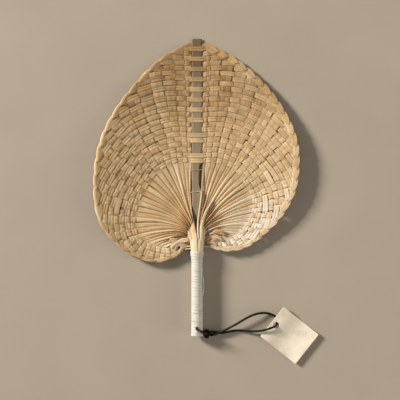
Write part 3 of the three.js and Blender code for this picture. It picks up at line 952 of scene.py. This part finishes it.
def strand_half(side, strip, share):
    """Half the width of a strip on the neck: on the right the first strands are broad and stand apart."""
    broad = STRAND_BROAD[side]
    if side == "right":
        broad = RIGHT_STRANDS_BROAD.get(strip, broad)
    return PLEAT_ROOT_HALF * lerp(1.0, broad, -share)


def add_pleat(skin, side, strip, station, flat_width):
    """The pleated part of a strip: bound to the neck, folded up, and opening flat towards the weave."""
    lift = chance.uniform(*(HIGH_LIFT if leads(strip) else LOW_LIFT))
    lift *= lerp(1.0, LOBE_LIFT[side], smoothstep(strip / STRIPS, *LOBE_LIFT_FROM))
    lean = chance.uniform(*PLEAT_LEAN)
    brown = chance.uniform(*PLEAT_BROWN) * PLEAT_BROWN_SHARE[side]
    shade_depth = chance.uniform(*VALLEY_SHADE[side])
    phase = chance.uniform(*PLEAT_PHASE)
    end = spot(side, station, 0)
    route = pleat_route(side, strip, end)
    places = [place for _, place in route] + [end]
    lengths = path_lengths(places)
    for index, (share, place) in enumerate(route):
        opened = max(0.0, share)
        half = lerp(PLEAT_ROOT_HALF, flat_width / 2, opened)
        if share < 0:
            half = strand_half(side, strip, share)
        full = max(flat_width / 2, half)
        fold = lift * lerp(1.0, FOLD_AT_WEAVE, opened) * math.sqrt(full ** 2 - half ** 2)
        fold *= smoothstep(share, *FOLD_FROM)
        bound = 1 - smoothstep(share, *BOUND_FADE) if is_bound(strip) else 0.0
        ring = leaf_ring(place, heading(places, index), pleat_normal(side, strip, share), 2 * half,
                         lerp(LEAF_THICKNESS, BOUND_THICKNESS, bound),
                         lerp(LEAF_CROWN * opened, BOUND_CROWN, bound), fold,
                         lean=lean + PLEAT_SWAY * math.sin(phase + PLEAT_WAVES * opened),
                         groove=PLEAT_GROOVE * smoothstep(share, *PLEAT_GROOVE_FROM))
        # painted shade in the valleys between pleats; the paleness below is partly painted light on the lower
        # right
        valley_shade = shade_depth * lerp(1.0, VALLEY_SHADE_AT_WEAVE, opened) * smoothstep(share, *VALLEY_SHADE_FROM)
        pale = PLEAT_PALE * opened + paleness(side, station, place.y, PLEAT_PALE_AND_LIGHT)
        skin.add(ring, LEAF_ACROSS, lengths[index], brown * bell(share, *PLEAT_BROWN_AT), pale, valley_shade)
    return lengths[-1]


# Neck and lobe ends

BUNDLE_STRANDS = 6
BUNDLE_RINGS = 20
BUNDLE_SINK = (0, 0, -2.0)
BUNDLE_REACH = (0.12, 0.24)
BUNDLE_WIDTH = (4.2, 3.0)
BUNDLE_THICKNESS = (2.4, 1.2)
BUNDLE_TONES = (0.4, 0.7)
BUNDLE_BROWN = 0.35
BUNDLE_BROWN_FROM = (0.5, 1)
STRAND_RINGS = 40
STRAND_LENGTH = 60
STRAND_THICKNESS = 0.7
STRAND_TONES = (0.6, 0.85)
STRAND_BROWN = 0.4
STRAND_BROWN_AT = (0.6, 0.2)
STRAND_PALE = {"left": -0.06, "right": 0.08}
STRAND_BLEACH = 0.12
STRAND_BLEACH_TO = (-19.0, 0.0)

# Smooth strands on top of the neck: at each place across, up the spine, off the table, width, crown, tilt
NECK_STRANDS = {
    "left": [
        [(-3.1, -27.5, 15.0, 10.4, 2.0, -0.67), (-3.6, -14, 15.0, 9.5, 1.5, -0.5),
         (-4.0, -6, 14.2, 9.4, 1.3, -0.5), (-4.8, 1, 13.2, 8.0, 1.2, -0.5), (-5.0, 8, 12.4, 5.4, 1.0, -0.45),
         (-5.2, 14.5, 11.6, 3.0, 0.7, -0.2), (-6.3, 21, 10.5, 1.9, 0.4, 0), (-7.4, 29, 7.9, 1.4, 0.3, 0),
         (-8.1, 40, 4.4, 1.0, 0.2, 0)],
    ],
    "right": [
        [(3.7, -27.5, 14.8, 9.0, 1.8, 0.75), (4.0, -14, 15.0, 7.7, 1.3, 0.45),
         (4.2, -7, 14.1, 6.5, 0.8, 0.25), (4.4, -1, 13.0, 4.5, 0.6, 0.2)],
        [(1.9, -13, 14.6, 2.2, 0.5, 0.1), (1.9, -7, 15.4, 2.5, 0.6, 0.1), (1.2, 3, 14.9, 2.6, 0.7, 0),
         (1.5, 14, 12.9, 2.5, 0.7, 0), (3.0, 27, 10.0, 2.3, 0.5, 0), (4.6, 39, 7.6, 2.0, 0.4, 0),
         (5.8, 50, 6.2, 1.8, 0.3, 0)],
        [(5.8, -14, 14.2, 3.0, 0.6, 0.4), (5.6, -8, 14.9, 3.8, 0.8, 0.3), (5.5, 0, 14.9, 4.6, 1.0, 0.2),
         (6.0, 8, 14.0, 4.6, 1.0, 0.1), (8.0, 16.5, 13.0, 4.2, 0.9, 0), (11.4, 25.5, 11.2, 3.4, 0.8, 0),
         (15.2, 32.5, 9.2, 2.4, 0.6, 0), (21.4, 41.5, 4.8, 1.2, 0.3, 0)],
    ],
}

# Thin strips that tie the lobes to the handle: out from the middle, below their height, off the table
TIE_HEIGHTS = {"left": [-17.4, -20.4], "right": [-17.8]}
TIE_ROUTE = [(6.4, 0, 12.6), (10, 0, 10.8), (14, 0.5, 9.2), (19, 1.2, 8.2)]
TIE_RINGS = 10
TIE_LENGTH = 13.0
TIE_WIDTH = 1.2
TIE_TONE = 0.6

# Loose leaf ends on the left lobe: where each starts, its bearing, length, bend, width and brownness
LEFT_CURLS = [
    ((-10.5, -8.5, 10.4), 188, 25, 42, 6.2, 0.0),
    ((-10.5, -12, 9.8), 205, 20, -50, 5.8, 0.1),
    ((-10.5, -15.5, 9.2), 196, 16, 55, 5.0, 0.0),
    ((-24.5, -12.5, 9.8), 105, 13, 160, 4.8, 0.9),
    ((-17, -16.5, 9.8), 150, 12, 110, 4.6, 0.0),
    ((-21, -18.5, 9.4), 20, 11, 110, 4.2, 0.4),
    ((-31, -17.5, 9.6), 55, 13, 120, 4.8, 0.1),
    ((-26, -20.5, 9.2), 170, 10, -110, 4.2, 0.0),
]
LEFT_CURL_RISE = 0.08

# Chances of the crumpled leaf ends on the right lobe, in the order of their draws
RIGHT_CURLS = 9
RIGHT_CURL_OUT = (10.5, 20.5)
RIGHT_CURL_UP = (-13, 0)
RIGHT_CURL_HEIGHT = (8, 9.5)
RIGHT_CURL = {"bearing": (-35, 35), "length": (10, 17), "bend": (-90, 90), "width": (4.2, 6.4),
              "rise": (0.05, 0.2), "root": (0.2, 0.9)}
CURL_RINGS = 12
CURL_TONES = (0.35, 0.95)
CURL_CROWN = 0.7
CURL_TAPER = 0.6
CURL_TILT = (0.35, 0.3)
CURL_TILT_RATE = (4, 3)


def bundle_strand(side, number):
    """A smooth strand under the pleats' roots, from the tape out past the collar."""
    turn = (number + 0.5) / BUNDLE_STRANDS
    strip = round(turn * (STRIPS - 1))
    end = spot(side, station_of(strip), 0)
    stops = neck_stops(side, turn) + [pleat_place(side, strip, end, share) for share in BUNDLE_REACH]
    stops = [stop + Vector(BUNDLE_SINK) for stop in stops]
    skin = Skin(chance.uniform(*BUNDLE_TONES))
    for share, place, ahead in walk(spline_places(stops, BUNDLE_RINGS)):
        normal = pleat_normal(side, strip, min(0.0, 2 * share - 1))
        ring = lens_ring(place, ahead, normal, lerp(*BUNDLE_WIDTH, share), lerp(*BUNDLE_THICKNESS, share))
        brown = BUNDLE_BROWN * smoothstep(share, *BUNDLE_BROWN_FROM)
        skin.add(ring, lens_across(), STRAND_LENGTH * share, brown)
    return skin


def neck_strand(stops, pale):
    """A smooth, rounded leaf base on top of the neck, thinning out into a pleat."""
    skin = Skin(chance.uniform(*STRAND_TONES))
    courses = spline_places(stops, STRAND_RINGS)
    places = [Vector(course[:3]) for course in courses]
    for (share, place, ahead), (*_, width, crown, tilt) in zip(walk(places), courses):
        ring = leaf_ring(place, ahead, Vector((tilt, 0, 1)).normalized(), width, STRAND_THICKNESS, crown)
        brown = STRAND_BROWN * bell(share, *STRAND_BROWN_AT)
        bleach = STRAND_BLEACH * (1 - smoothstep(place.y, *STRAND_BLEACH_TO))
        skin.add(ring, LEAF_ACROSS, STRAND_LENGTH * share, brown, pale + bleach)
    return skin


def tie_strip(side, y):
    """A thin strip that ties the end of a lobe to the handle."""
    skin = Skin(TIE_TONE)
    route = [(SIDES[side] * out, y - drop, z) for out, drop, z in TIE_ROUTE]
    for share, place, ahead in walk(spline_places(route, TIE_RINGS)):
        skin.add(leaf_ring(place, ahead, UP, TIE_WIDTH), LEAF_ACROSS, TIE_LENGTH * share)
    return skin


def curl(start, bearing, length, bend, width, root, rise):
    """A loose leaf end that curls: from a start, turning as it goes, up off the leaf and down again."""
    skin = Skin(chance.uniform(*CURL_TONES))
    places = [Vector(start)]
    for step in range(CURL_RINGS):
        angle = math.radians(bearing + bend * step / CURL_RINGS)
        ahead = Vector((math.cos(angle), math.sin(angle), rise * math.cos(math.pi * step / CURL_RINGS)))
        places.append(places[-1] + ahead * (length / CURL_RINGS))
    for share, place, ahead in walk(places):
        tilt_x = CURL_TILT[0] * math.sin(CURL_TILT_RATE[0] * share)
        tilt_y = CURL_TILT[1] * math.cos(CURL_TILT_RATE[1] * share)
        ring = leaf_ring(place, ahead, Vector((tilt_x, tilt_y, 1)).normalized(),
                         width * lerp(1.0, CURL_TAPER, share ** 2), crown=CURL_CROWN)
        skin.add(ring, LEAF_ACROSS, length * share, root)
    return skin


def crumpled_end(share):
    """One of the brown, crumpled leaf ends on the right lobe, by its share of the way up."""
    out = chance.uniform(*RIGHT_CURL_OUT)
    start = (out, lerp(*RIGHT_CURL_UP, share), chance.uniform(*RIGHT_CURL_HEIGHT))
    return curl(start, **{key: chance.uniform(*span) for key, span in RIGHT_CURL.items()})


def lobe_end(side):
    """The untidy end of a lobe beside the handle: curled leaf ends, and the thin strips that tie it down."""
    if side == "left":
        skins = [curl(*shape, LEFT_CURL_RISE) for shape in LEFT_CURLS]
    else:
        skins = [crumpled_end(number / (RIGHT_CURLS - 1)) for number in range(RIGHT_CURLS)]
    return skins + [tie_strip(side, y) for y in TIE_HEIGHTS[side]]


# Leaf strips and wefts

STATION_SLIP = (-0.06, 0.06)
STRIP_FILL = (0.9, 0.97)
STRIP_TONES = {"left": [(0.15, 0.6), (0.45, 0.85)], "right": [(0.15, 0.7), (0.45, 0.95)]}
STRIP_TUCK = {"left": 5.4, "right": 3.4}
STRIP_PALE_AND_LIGHT = 0.29
STRIP_WANDER = 0.13 * STRIP_STEP
STRIP_WANDER_LENGTH = 17
STRIP_RINGS_PER_WEFT = 5
PLEAT_FILL = {"left": (0.95, 1.03), "right": (0.84, 1.03)}
NARROW_STRIP = 0.62
ROUGH_GAPS = 0.18
ROUGH_CROWN = 0.3
STAIN = 0.5
STAIN_SPAN = (0.15, 0.85)
STAIN_WIDTH = 6
# Painted light: the right half of the weave made paler, standing in for more light falling on it
WEAVE_PAINTED_LIGHT = {"left": 0.0, "right": 0.04}
CAD_WEFTS = 11
PAIRED_WEFTS = 8
WEFT_FILL = (0.89, 0.97)
WEFT_TONES = (0.35, 0.75)
WEFT_PALE_AND_LIGHT = 0.34
WEFT_WANDER = 0.55
WEFT_WAVES = 21
WEFT_STEADY_TO = 0.15
WEFT_RINGS_PER_STRIP = 6
WEFT_END_GAP = 0.95 * RIM_WIDTH
WEFT_END_STEP = STRIP_STEP / 5
WEFT_TOP_GAP = 0.7 * RIM_WIDTH
SLAT_LEVEL = 1.05
SLAT_REACH = (-0.53, 0.05)
FLOAT_LEVEL = 2.0 * WEAVE_WAVE
FLOAT_PALE = 0.1

# Where a weft skips some strips and lies long and loose over them, by the strips that it has passed
LONG_FLOATS = {
    "left": {3: [(12.6, 14.4)], 6: [(17.6, 19.4)]},
    "right": {
        2: [(12.6, 15.4), (18.6, 20.4)], 3: [(16.6, 19.4)], 4: [(9.6, 11.4), (14.6, 17.4)],
        5: [(8.6, 11.4), (17.6, 20.4)], 6: [(12.6, 14.4), (18.6, 20.4)], 7: [(13.6, 17.4)],
        8: [(12.6, 16.4)], 9: [(13.6, 15.4)],
    },
}


def leaf_strip(side, strip):
    """One leaf strip, folded up in a pleat at the neck and woven flat from the inner edge to the rim."""
    narrow = NARROW_STRIP if side == "right" and strip == 0 else 1.0
    station = station_of(strip) + chance.uniform(*STATION_SLIP) * STRIP_STEP
    rough = lower_right(side, station)
    fill = chance.uniform(*STRIP_FILL) * (1 - ROUGH_GAPS * rough)
    skin = Skin(chance.uniform(*STRIP_TONES[side][leads(strip)]))
    pleat_fill = chance.uniform(*PLEAT_FILL[side])
    so_far = add_pleat(skin, side, strip, station, narrow * pleat_fill * strip_room(side, station, 0))
    groove = chance.choice(LEAF_GROOVES)
    phase = chance.uniform(0, TURN)
    reach = weave_reach(side, station) - STRIP_TUCK[side]
    stain = chance.uniform(*STAIN_SPAN) * reach
    pitch = weft_pitch(station)
    steps = max(3, int(reach / pitch * STRIP_RINGS_PER_WEFT))
    for step in range(steps + 1):
        distance = reach * step / steps
        woven = smoothstep(distance, 0, pitch / 2)
        level = wave(distance / pitch - 0.5) * (1 if strip % 2 == 0 else -1) * woven
        sway = STRIP_WANDER * math.sin(distance / STRIP_WANDER_LENGTH + phase)
        sway *= smoothstep(distance, 0, 3 * pitch)
        place = spot(side, station + sway, distance)
        normal = normal_at(place.x, place.y)
        ahead = (spot(side, station + sway, distance + 1) - place).normalized()
        width = strip_room(side, station, distance) * lerp(narrow, 1.0, smoothstep(distance, 0, 2 * pitch))
        width *= lerp(pleat_fill, fill, woven)
        ring = leaf_ring(place + normal * (level * WEAVE_WAVE), ahead, normal, width,
                         crown=LEAF_CROWN + ROUGH_CROWN * rough,
                         groove=groove * smoothstep(distance, 0, pitch))
        root = STAIN * rough * bell(distance, stain, STAIN_WIDTH)
        # paler on the right in painted light, and to the lower right partly paler leaf, partly painted light
        pale = WEAVE_PAINTED_LIGHT[side] + paleness(side, station, place.y, STRIP_PALE_AND_LIGHT)
        skin.add(ring, LEAF_ACROSS, so_far + distance, root, pale)
    return skin


def weft_distance(weft, station):
    return (weft + 0.5) * weft_pitch(station)


def weft_count():
    count = 0
    while weft_distance(count, 0) < WEAVE_TOP - WEAVE_FROM - WEFT_TOP_GAP:
        count += 1
    return count


def is_inside(side, weft, station):
    """Whether a weft still lies inside the rim at a station."""
    edge = weave_reach(side, station) - WEFT_END_GAP
    return station < LAST_STRIP + STRIP_STEP and weft_distance(weft, station) < edge


def weft_end(side, weft):
    """The station where a weft ends, at the rim or beyond the last strip."""
    station = 0.0
    while is_inside(side, weft, station):
        station += WEFT_END_STEP
    return station


def over_spine(weft):
    """The wefts nearest the neck cross the spine in pairs, and the others one by one."""
    return (weft // 2) % 2 == 0 if weft < PAIRED_WEFTS else weft % 2 == 0


def is_float(side, weft, turns):
    return any(first < turns < last for first, last in LONG_FLOATS[side].get(weft, []))


def weft_level(side, weft, turns):
    """How far a weft lies off the middle of the blade, by the strips that it has passed."""
    parity = 1 if weft % 2 == 0 else -1
    level = -parity * wave(turns) * WEAVE_WAVE
    if is_float(side, weft, turns):
        level = FLOAT_LEVEL
    slat = SLAT_LEVEL if over_spine(weft) else -SLAT_LEVEL
    return lerp(slat, level, smoothstep(turns, *SLAT_REACH))


def weft_stops(side, weft):
    """Stations along one side of a weft, from the spine out."""
    end = weft_end(side, weft)
    steps = max(4, int(end / STRIP_STEP * WEFT_RINGS_PER_STRIP))
    return [(side, end * step / steps) for step in range(steps + 1)]


def weft_strip(weft):
    """One weft, from the left rim over or under the spine to the right rim."""
    skin = Skin(chance.uniform(*WEFT_TONES))
    fill = chance.uniform(*WEFT_FILL)
    groove = chance.choice(LEAF_GROOVES)
    phase = chance.uniform(0, TURN)
    places, normals, widths, pales = [], [], [], []
    for side, station in weft_stops("left", weft)[::-1] + weft_stops("right", weft):
        turns = strips_passed(station)
        sway = WEFT_WANDER * math.sin(SIDES[side] * WEFT_WAVES * station + phase)
        sway *= smoothstep(station, 0, WEFT_STEADY_TO)
        place = spot(side, station, weft_distance(weft, station) + sway)
        normal = normal_at(place.x, place.y)
        # paler on the right in painted light, and to the lower right partly paler leaf, partly painted light
        pale = WEAVE_PAINTED_LIGHT[side] + paleness(side, station, place.y, WEFT_PALE_AND_LIGHT)
        places.append(place + normal * weft_level(side, weft, turns))
        normals.append(normal)
        widths.append(fill * weft_pitch(station))
        pales.append(pale + FLOAT_PALE * is_float(side, weft, turns))
    courses = zip(walk(places), normals, widths, path_lengths(places), pales)
    for (_, place, ahead), normal, width, so_far, pale in courses:
        skin.add(leaf_ring(place, ahead, normal, width, groove=groove), LEAF_ACROSS, so_far, pale=pale)
    return skin


# Rim: leaf ends folded over the edge

RIM_TAB_STEP = {"left": 19.0, "right": 14.5}
RIM_TAB_LENGTH = {"left": 25.0, "right": 20.0}
RIM_TAB_WIDTH = (9.2, 6.6)
RIM_TAB_WIDTH_FROM = (0.5, 0.8)
RIM_TAB_RINGS = 12
RIM_NARROW = {"left": 0.88, "right": 1.0}
RIM_UNEVEN = (0.88, 1.1)
RIM_THICKNESS = 0.6
RIM_SCALLOP = {"left": 2.1, "right": 2.6}
RIM_LEVELS = {"left": (-0.55, 0.8), "right": (-0.55, 0.85)}
RIM_CROWN = {"left": 0.25, "right": 0.5}
RIM_ROUND = {"left": 4, "right": 2}
RIM_SKEW = {"left": 3.4, "right": 2.2}
RIM_TONES = {"left": (0.2, 0.55), "right": (0.3, 0.72)}
RIM_PALE = {"left": -0.05, "right": 0.04}
RIM_PALE_AND_LIGHT = 0.22
# Browner leaf ends, and painted shade over a tab's start where it lies under the tab before
RIM_BROWN_AND_SHADE = {"left": 0.5, "right": 1.0}
RIM_UNDER_SHADE = 0.35
RIM_UNDER_SHADE_TO = (0.2, 0.5)
RIM_END_BROWN = 0.6
RIM_END_FROM = (0.9, 1)
RIM_SAMPLES = 4000

# The left tabs turn down in a lip, more so away from the tip, with a painted highlight along its outer edge
RIM_LIP = {"left": 1.6, "right": 0.0}
RIM_LIP_HIGHLIGHT = {"left": 0.2, "right": 0.0}
RIM_LIP_FULL_AT = 0.15

# A tab's edges get less of the painted edge shade than a strip's
RIM_ACROSS = [0.88 * share for share in LEAF_ACROSS]


@functools.lru_cache(maxsize=None)
def rim_stations(side):
    """Stations along the outline, one for each millimetre."""
    stations, so_far = [0.0], 0.0
    before = edge_points(side, 0)[1]
    for sample in range(1, RIM_SAMPLES + 1):
        here = edge_points(side, sample / RIM_SAMPLES)[1]
        so_far += (here - before).length
        before = here
        if so_far >= len(stations):
            stations.append(sample / RIM_SAMPLES)
    return stations


def rim_tab(side, start):
    """One leaf end folded over the edge: a flat, scalloped patch that lies over the start of the next."""
    skin = Skin(chance.uniform(*RIM_TONES[side]))
    stations, length = rim_stations(side), RIM_TAB_LENGTH[side]
    narrow = RIM_NARROW[side] * chance.uniform(*RIM_UNEVEN)
    middle = stations[int(start + length / 2)]
    lip = RIM_LIP[side] * smoothstep(middle, 0, RIM_LIP_FULL_AT)
    places, normals, widths = [], [], []
    for step in range(RIM_TAB_RINGS + 1):
        share = step / RIM_TAB_RINGS
        station = stations[int(min(start + length * share, len(stations) - 1))]
        broad = narrow * lerp(*RIM_TAB_WIDTH, smoothstep(station, *RIM_TAB_WIDTH_FROM))
        scallop = 0.0 if start == 0 and share < 0.5 else RIM_SCALLOP[side] * (2 * share - 1) ** 2
        width = broad - scallop
        place = spot(side, station, weave_reach(side, station) - broad + width / 2)
        normal = normal_at(place.x, place.y)
        places.append(place + normal * lerp(*RIM_LEVELS[side], share))
        normals.append(normal)
        widths.append(width)
    for (share, place, ahead), normal, width in zip(walk(places), normals, widths):
        ring = leaf_ring(place, ahead, normal, width, RIM_THICKNESS, RIM_CROWN[side],
                         skew=-SIDES[side] * RIM_SKEW[side], power=RIM_ROUND[side], lip=lip)
        # painted shade over the start, which lies under the tab before, and a browner leaf end
        brown = RIM_UNDER_SHADE * (1 - smoothstep(share, *RIM_UNDER_SHADE_TO))
        brown += RIM_END_BROWN * smoothstep(share, *RIM_END_FROM)
        # paler to the lower right, partly painted light, and a painted highlight along the lip's outer edge
        pale = RIM_PALE[side] + paleness(side, middle, place.y, RIM_PALE_AND_LIGHT)
        pales = [pale + RIM_LIP_HIGHLIGHT[side] * (across == ACROSS[-1]) for across in LEAF_ACROSS]
        skin.add(ring, RIM_ACROSS, length * share, RIM_BROWN_AND_SHADE[side] * brown, pales)
    return skin


def rim_tabs(side):
    room = len(rim_stations(side)) - 1 - RIM_TAB_LENGTH[side]
    count = round(room / RIM_TAB_STEP[side])
    return [rim_tab(side, room * number / count) for number in range(count + 1)]


# Spine

SPINE_RINGS = 80
SPINE_CORNERS = 20
SPINE_FLAT = 0.8
SPINE_SWELL = 1.5
SPINE_SLIT = 3.3
SPINE_SLIT_FROM = (52.0, 58.0)
SPINE_SLIT_TO = (82.0, 90.0)
TANG_HALF = 4.0
TANG_WIDENS = (-20.0, 0.0)
# A dark sheet of painted shade under the rib's slit
SHADE_SHEET_SPAN = (50.0, 85.0)
SHADE_SHEET_OUT = 4.4
SHADE_SHEET_WIDTH = 5.6
SHADE_SHEET_DROP = 1.0
SHADE_SHEET_THICKNESS = 0.4
SHADE_SHEET_RINGS = 14
THREAD_STEPS = 72
THREAD_CORNERS = 8
THREAD_HALF_HEIGHT = 1.5
THREAD_WOBBLE = 0.3
THREAD_KNOT = (4.6, 50.2, 1.7)
THREAD_KNOT_SIZE = 0.9
THREAD_KNOT_STEPS = 60
THREAD_KNOT_RADIUS = 0.42

# Threads round the spine: up the spine, half width, slope and radius
THREADS = [(50, 7.0, 0.03, 0.42), (77.5, 6.9, -0.02, 0.24)]


def spine_shade_sheet():
    """A dark sheet of painted shade under the slit on the rib's right: its along of nothing takes the rib's
    painted neck shade.
    """
    skin = Skin()
    for step in range(SHADE_SHEET_RINGS + 1):
        y = lerp(*SHADE_SHEET_SPAN, step / SHADE_SHEET_RINGS)
        centre = Vector((SHADE_SHEET_OUT, y, spine_height(y) - SHADE_SHEET_DROP))
        skin.add(lens_ring(centre, TIPWARD, UP, SHADE_SHEET_WIDTH, SHADE_SHEET_THICKNESS), lens_across(), 0.0)
    return skin


def spine_mesh():
    """The leaf's midrib: flat, a little crowned, cut square at the tip."""
    skin = Skin()
    for step in range(SPINE_RINGS + 1):
        y = lerp(SPINE_LOW, SPINE_TIP, step / SPINE_RINGS)
        half = lerp(TANG_HALF, SPINE_WIDTH / 2, smoothstep(y, *TANG_WIDENS))
        centre = Vector((0, y, spine_height(y)))
        ring = lens_ring(centre, TIPWARD, UP, 2 * half, SPINE_THICKNESS, SPINE_CORNERS)
        slit = SPINE_SLIT * smoothstep(y, *SPINE_SLIT_FROM) * (1 - smoothstep(y, *SPINE_SLIT_TO))
        for corner in ring:
            corner.z = centre.z + max(-SPINE_FLAT, min(SPINE_FLAT, (corner.z - centre.z) * SPINE_SWELL))
            corner.x -= slit * smoothstep(corner.x, -half, half)
        skin.add(ring, lens_across(SPINE_CORNERS), y - SPINE_LOW)
    return skin_mesh("leaf_midrib", [skin, spine_shade_sheet()])


def squared(value):
    """A cosine or sine, moved out from a circle towards a box."""
    return math.copysign(abs(value) ** 0.5, value)


def thread_ring(y, half_width, slope, radius):
    """A thread once round the spine."""
    places = []
    for step in range(THREAD_STEPS):
        turn = TURN * step / THREAD_STEPS
        x = half_width * squared(math.cos(turn))
        z = spine_height(y) + THREAD_HALF_HEIGHT * squared(math.sin(turn))
        places.append(Vector((x, y + slope * x + THREAD_WOBBLE * math.sin(2 * turn), z)))
    return tube_rings(places, radius, THREAD_CORNERS, TIPWARD)


def spine_tie_mesh():
    x, y, rise = THREAD_KNOT
    middle = (x, y, spine_height(THREADS[0][0]) + rise)
    turns = [TURN * step / THREAD_KNOT_STEPS for step in range(THREAD_KNOT_STEPS)]
    knot = [knot_place(middle, THREAD_KNOT_SIZE, turn) for turn in turns]
    loops = [thread_ring(*thread) for thread in THREADS] + [tube_rings(knot, THREAD_KNOT_RADIUS)]
    return loop_mesh("spine_thread", loops)


# Handle

HANDLE_TOP_RADIUS = 6.8
HANDLE_END_RADIUS = 7.05
HANDLE_FLARE = 1.4
HANDLE_FLARE_FROM = -38.0
HANG_SLIT_HALF = 3.2
HANG_SLIT_WIDTH = 0.2
HANG_SLIT_RISE = 0.08
TAPE_TOP = -25.4
TAPE_BOTTOM = HANDLE_END + 1.6
TAPE_TURNS = 31
TAPE_STEPS = 36
TAPE_THICKNESS = 0.7
TAPE_CROWN = 0.2
TAPE_LAP = 0.3
TAPE_OVERLAP = 1.04
TAPE_SLIP = (-0.3, 0.3)
TAPE_SWELL = (-0.1, 0.08)
TAPE_END_ROUTE = [
    (5.6, -52, 11.4), (7.1, -56, 11.2), (7.8, -62, 11), (7.6, -70, 10.8), (7, -76, 10.8), (5.4, -81, 11),
]
TAPE_END_WIDTH = 2.4
TAPE_END_HEIGHT = 4.5
TAPE_END_RINGS = 20


def handle_radius(y):
    """Radius over the tape, which runs up onto the leaf bases at the neck."""
    grip = lerp(HANDLE_TOP_RADIUS, HANDLE_END_RADIUS, (y - HANDLE_TOP) / (HANDLE_END - HANDLE_TOP))
    return grip + HANDLE_FLARE * smoothstep(y, HANDLE_FLARE_FROM, HANDLE_TOP)


def tape_end():
    """The tape's loose end, tucked in along the right side of the handle."""
    skin = Skin()
    places = spline_places(TAPE_END_ROUTE, TAPE_END_RINGS)
    for _, place, ahead in walk(places):
        ring = lens_ring(place, ahead, UP, TAPE_END_WIDTH, TAPE_END_HEIGHT)
        skin.add(ring, lens_across(), (places[0] - place).length)
    return skin


def tape_mesh():
    """The pale tape wound down the handle, a little unevenly, level at its ends and parting at the hole."""
    skin = Skin()
    pitch = (TAPE_TOP - TAPE_BOTTOM) / (TAPE_TURNS - 2)
    slips = [chance.uniform(*TAPE_SLIP) for _ in range(TAPE_TURNS + 2)]
    swells = [chance.uniform(*TAPE_SWELL) for _ in range(TAPE_TURNS + 2)]
    so_far = 0.0
    for step in range(TAPE_TURNS * TAPE_STEPS + 1):
        turns = step / TAPE_STEPS
        whole = int(turns)
        rest = turns - whole
        turn = TURN * turns
        y = lerp(TAPE_TOP, TAPE_BOTTOM, min(1.0, max(0.0, (turns - 1) / (TAPE_TURNS - 2))))
        out = Vector((math.sin(turn), 0, math.cos(turn)))
        radius = handle_radius(y) - TAPE_THICKNESS / 2 + lerp(swells[whole], swells[whole + 1], rest)
        radius += TAPE_LAP * (max(0.0, turns - TAPE_TURNS + 1) - max(0.0, 1 - turns))
        part = max(0.0, HANG_SLIT_HALF + pitch / 2 - abs(y - HANG_HOLE_Y)) * bell(out.x, 0, HANG_SLIT_WIDTH)
        radius += HANG_SLIT_RISE * part
        y += part * (1 if y > HANG_HOLE_Y else -1) + lerp(slips[whole], slips[whole + 1], rest)
        centre = Vector((0, y, HANDLE_HEIGHT)) + out * radius
        ahead = Vector((math.cos(turn), 0, -math.sin(turn)))
        ring = leaf_ring(centre, ahead, out, pitch * TAPE_OVERLAP, TAPE_THICKNESS, TAPE_CROWN)
        skin.add(ring, LEAF_ACROSS, so_far)
        so_far += TURN * radius / TAPE_STEPS
    return skin_mesh("handle_tape", [skin, tape_end()])


# Putting the pieces together

def add_blade():
    leaf = leaf_material("leaf_strips", dark=(0.27, 0.163, 0.07), middle=(0.485, 0.335, 0.172),
                         light=(0.66, 0.5, 0.305))
    weft = leaf_material("weft_strips", dark=(0.29, 0.177, 0.076), middle=(0.505, 0.352, 0.182),
                         light=(0.68, 0.52, 0.32))
    for side in SIDES:
        for segment in range(SEGMENTS):
            first = segment * STRIPS_PER_SEGMENT
            skins = [leaf_strip(side, first + strip) for strip in range(STRIPS_PER_SEGMENT)]
            name = f"leaf_strips_{side}_{segment + 1}"
            piece(name, skin_mesh(name, skins), leaf, [f"leaf_segment_{side}_{segment + 1}"])
        name = f"rim_tabs_{side}"
        piece(name, skin_mesh(name, rim_tabs(side)), weft, [f"rim_braid_{side}"])
    count = weft_count()
    for number in range(count):
        name = f"weft_{number + 1}"
        node = f"weft_strip_{1 + number * CAD_WEFTS // count}"
        piece(name, skin_mesh(name, [weft_strip(number)]), weft, [node])
    piece("leaf_midrib", spine_mesh(), spine_material(), ["spine_rib"])
    piece("spine_thread", spine_tie_mesh(), thread_material(), ["spine_tie"])


def add_neck():
    base = leaf_material("leaf_bases", dark=(0.42, 0.28, 0.14), middle=(0.62, 0.475, 0.295),
                         light=(0.75, 0.63, 0.45))
    for side in SIDES:
        name = f"neck_bundle_{side}"
        strands = [bundle_strand(side, number) for number in range(BUNDLE_STRANDS)]
        strands += [neck_strand(stops, STRAND_PALE[side]) for stops in NECK_STRANDS[side]]
        piece(name, skin_mesh(name, strands), base, [f"neck_sheath_{side}"])
        name = f"lobe_end_{side}"
        piece(name, skin_mesh(name, lobe_end(side)), base, [f"neck_sheath_{side}"])


def add_handle():
    piece("handle_tape", tape_mesh(), tape_material(), ["handle_winding"])
    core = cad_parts["handle_core"]
    core.data.materials.clear()
    core.data.materials.append(stick_material())


add_camera()
add_light()
add_floor()
add_cord()
add_blade()
add_neck()
add_handle()
bpy.context.scene.view_settings.view_transform = "Standard"
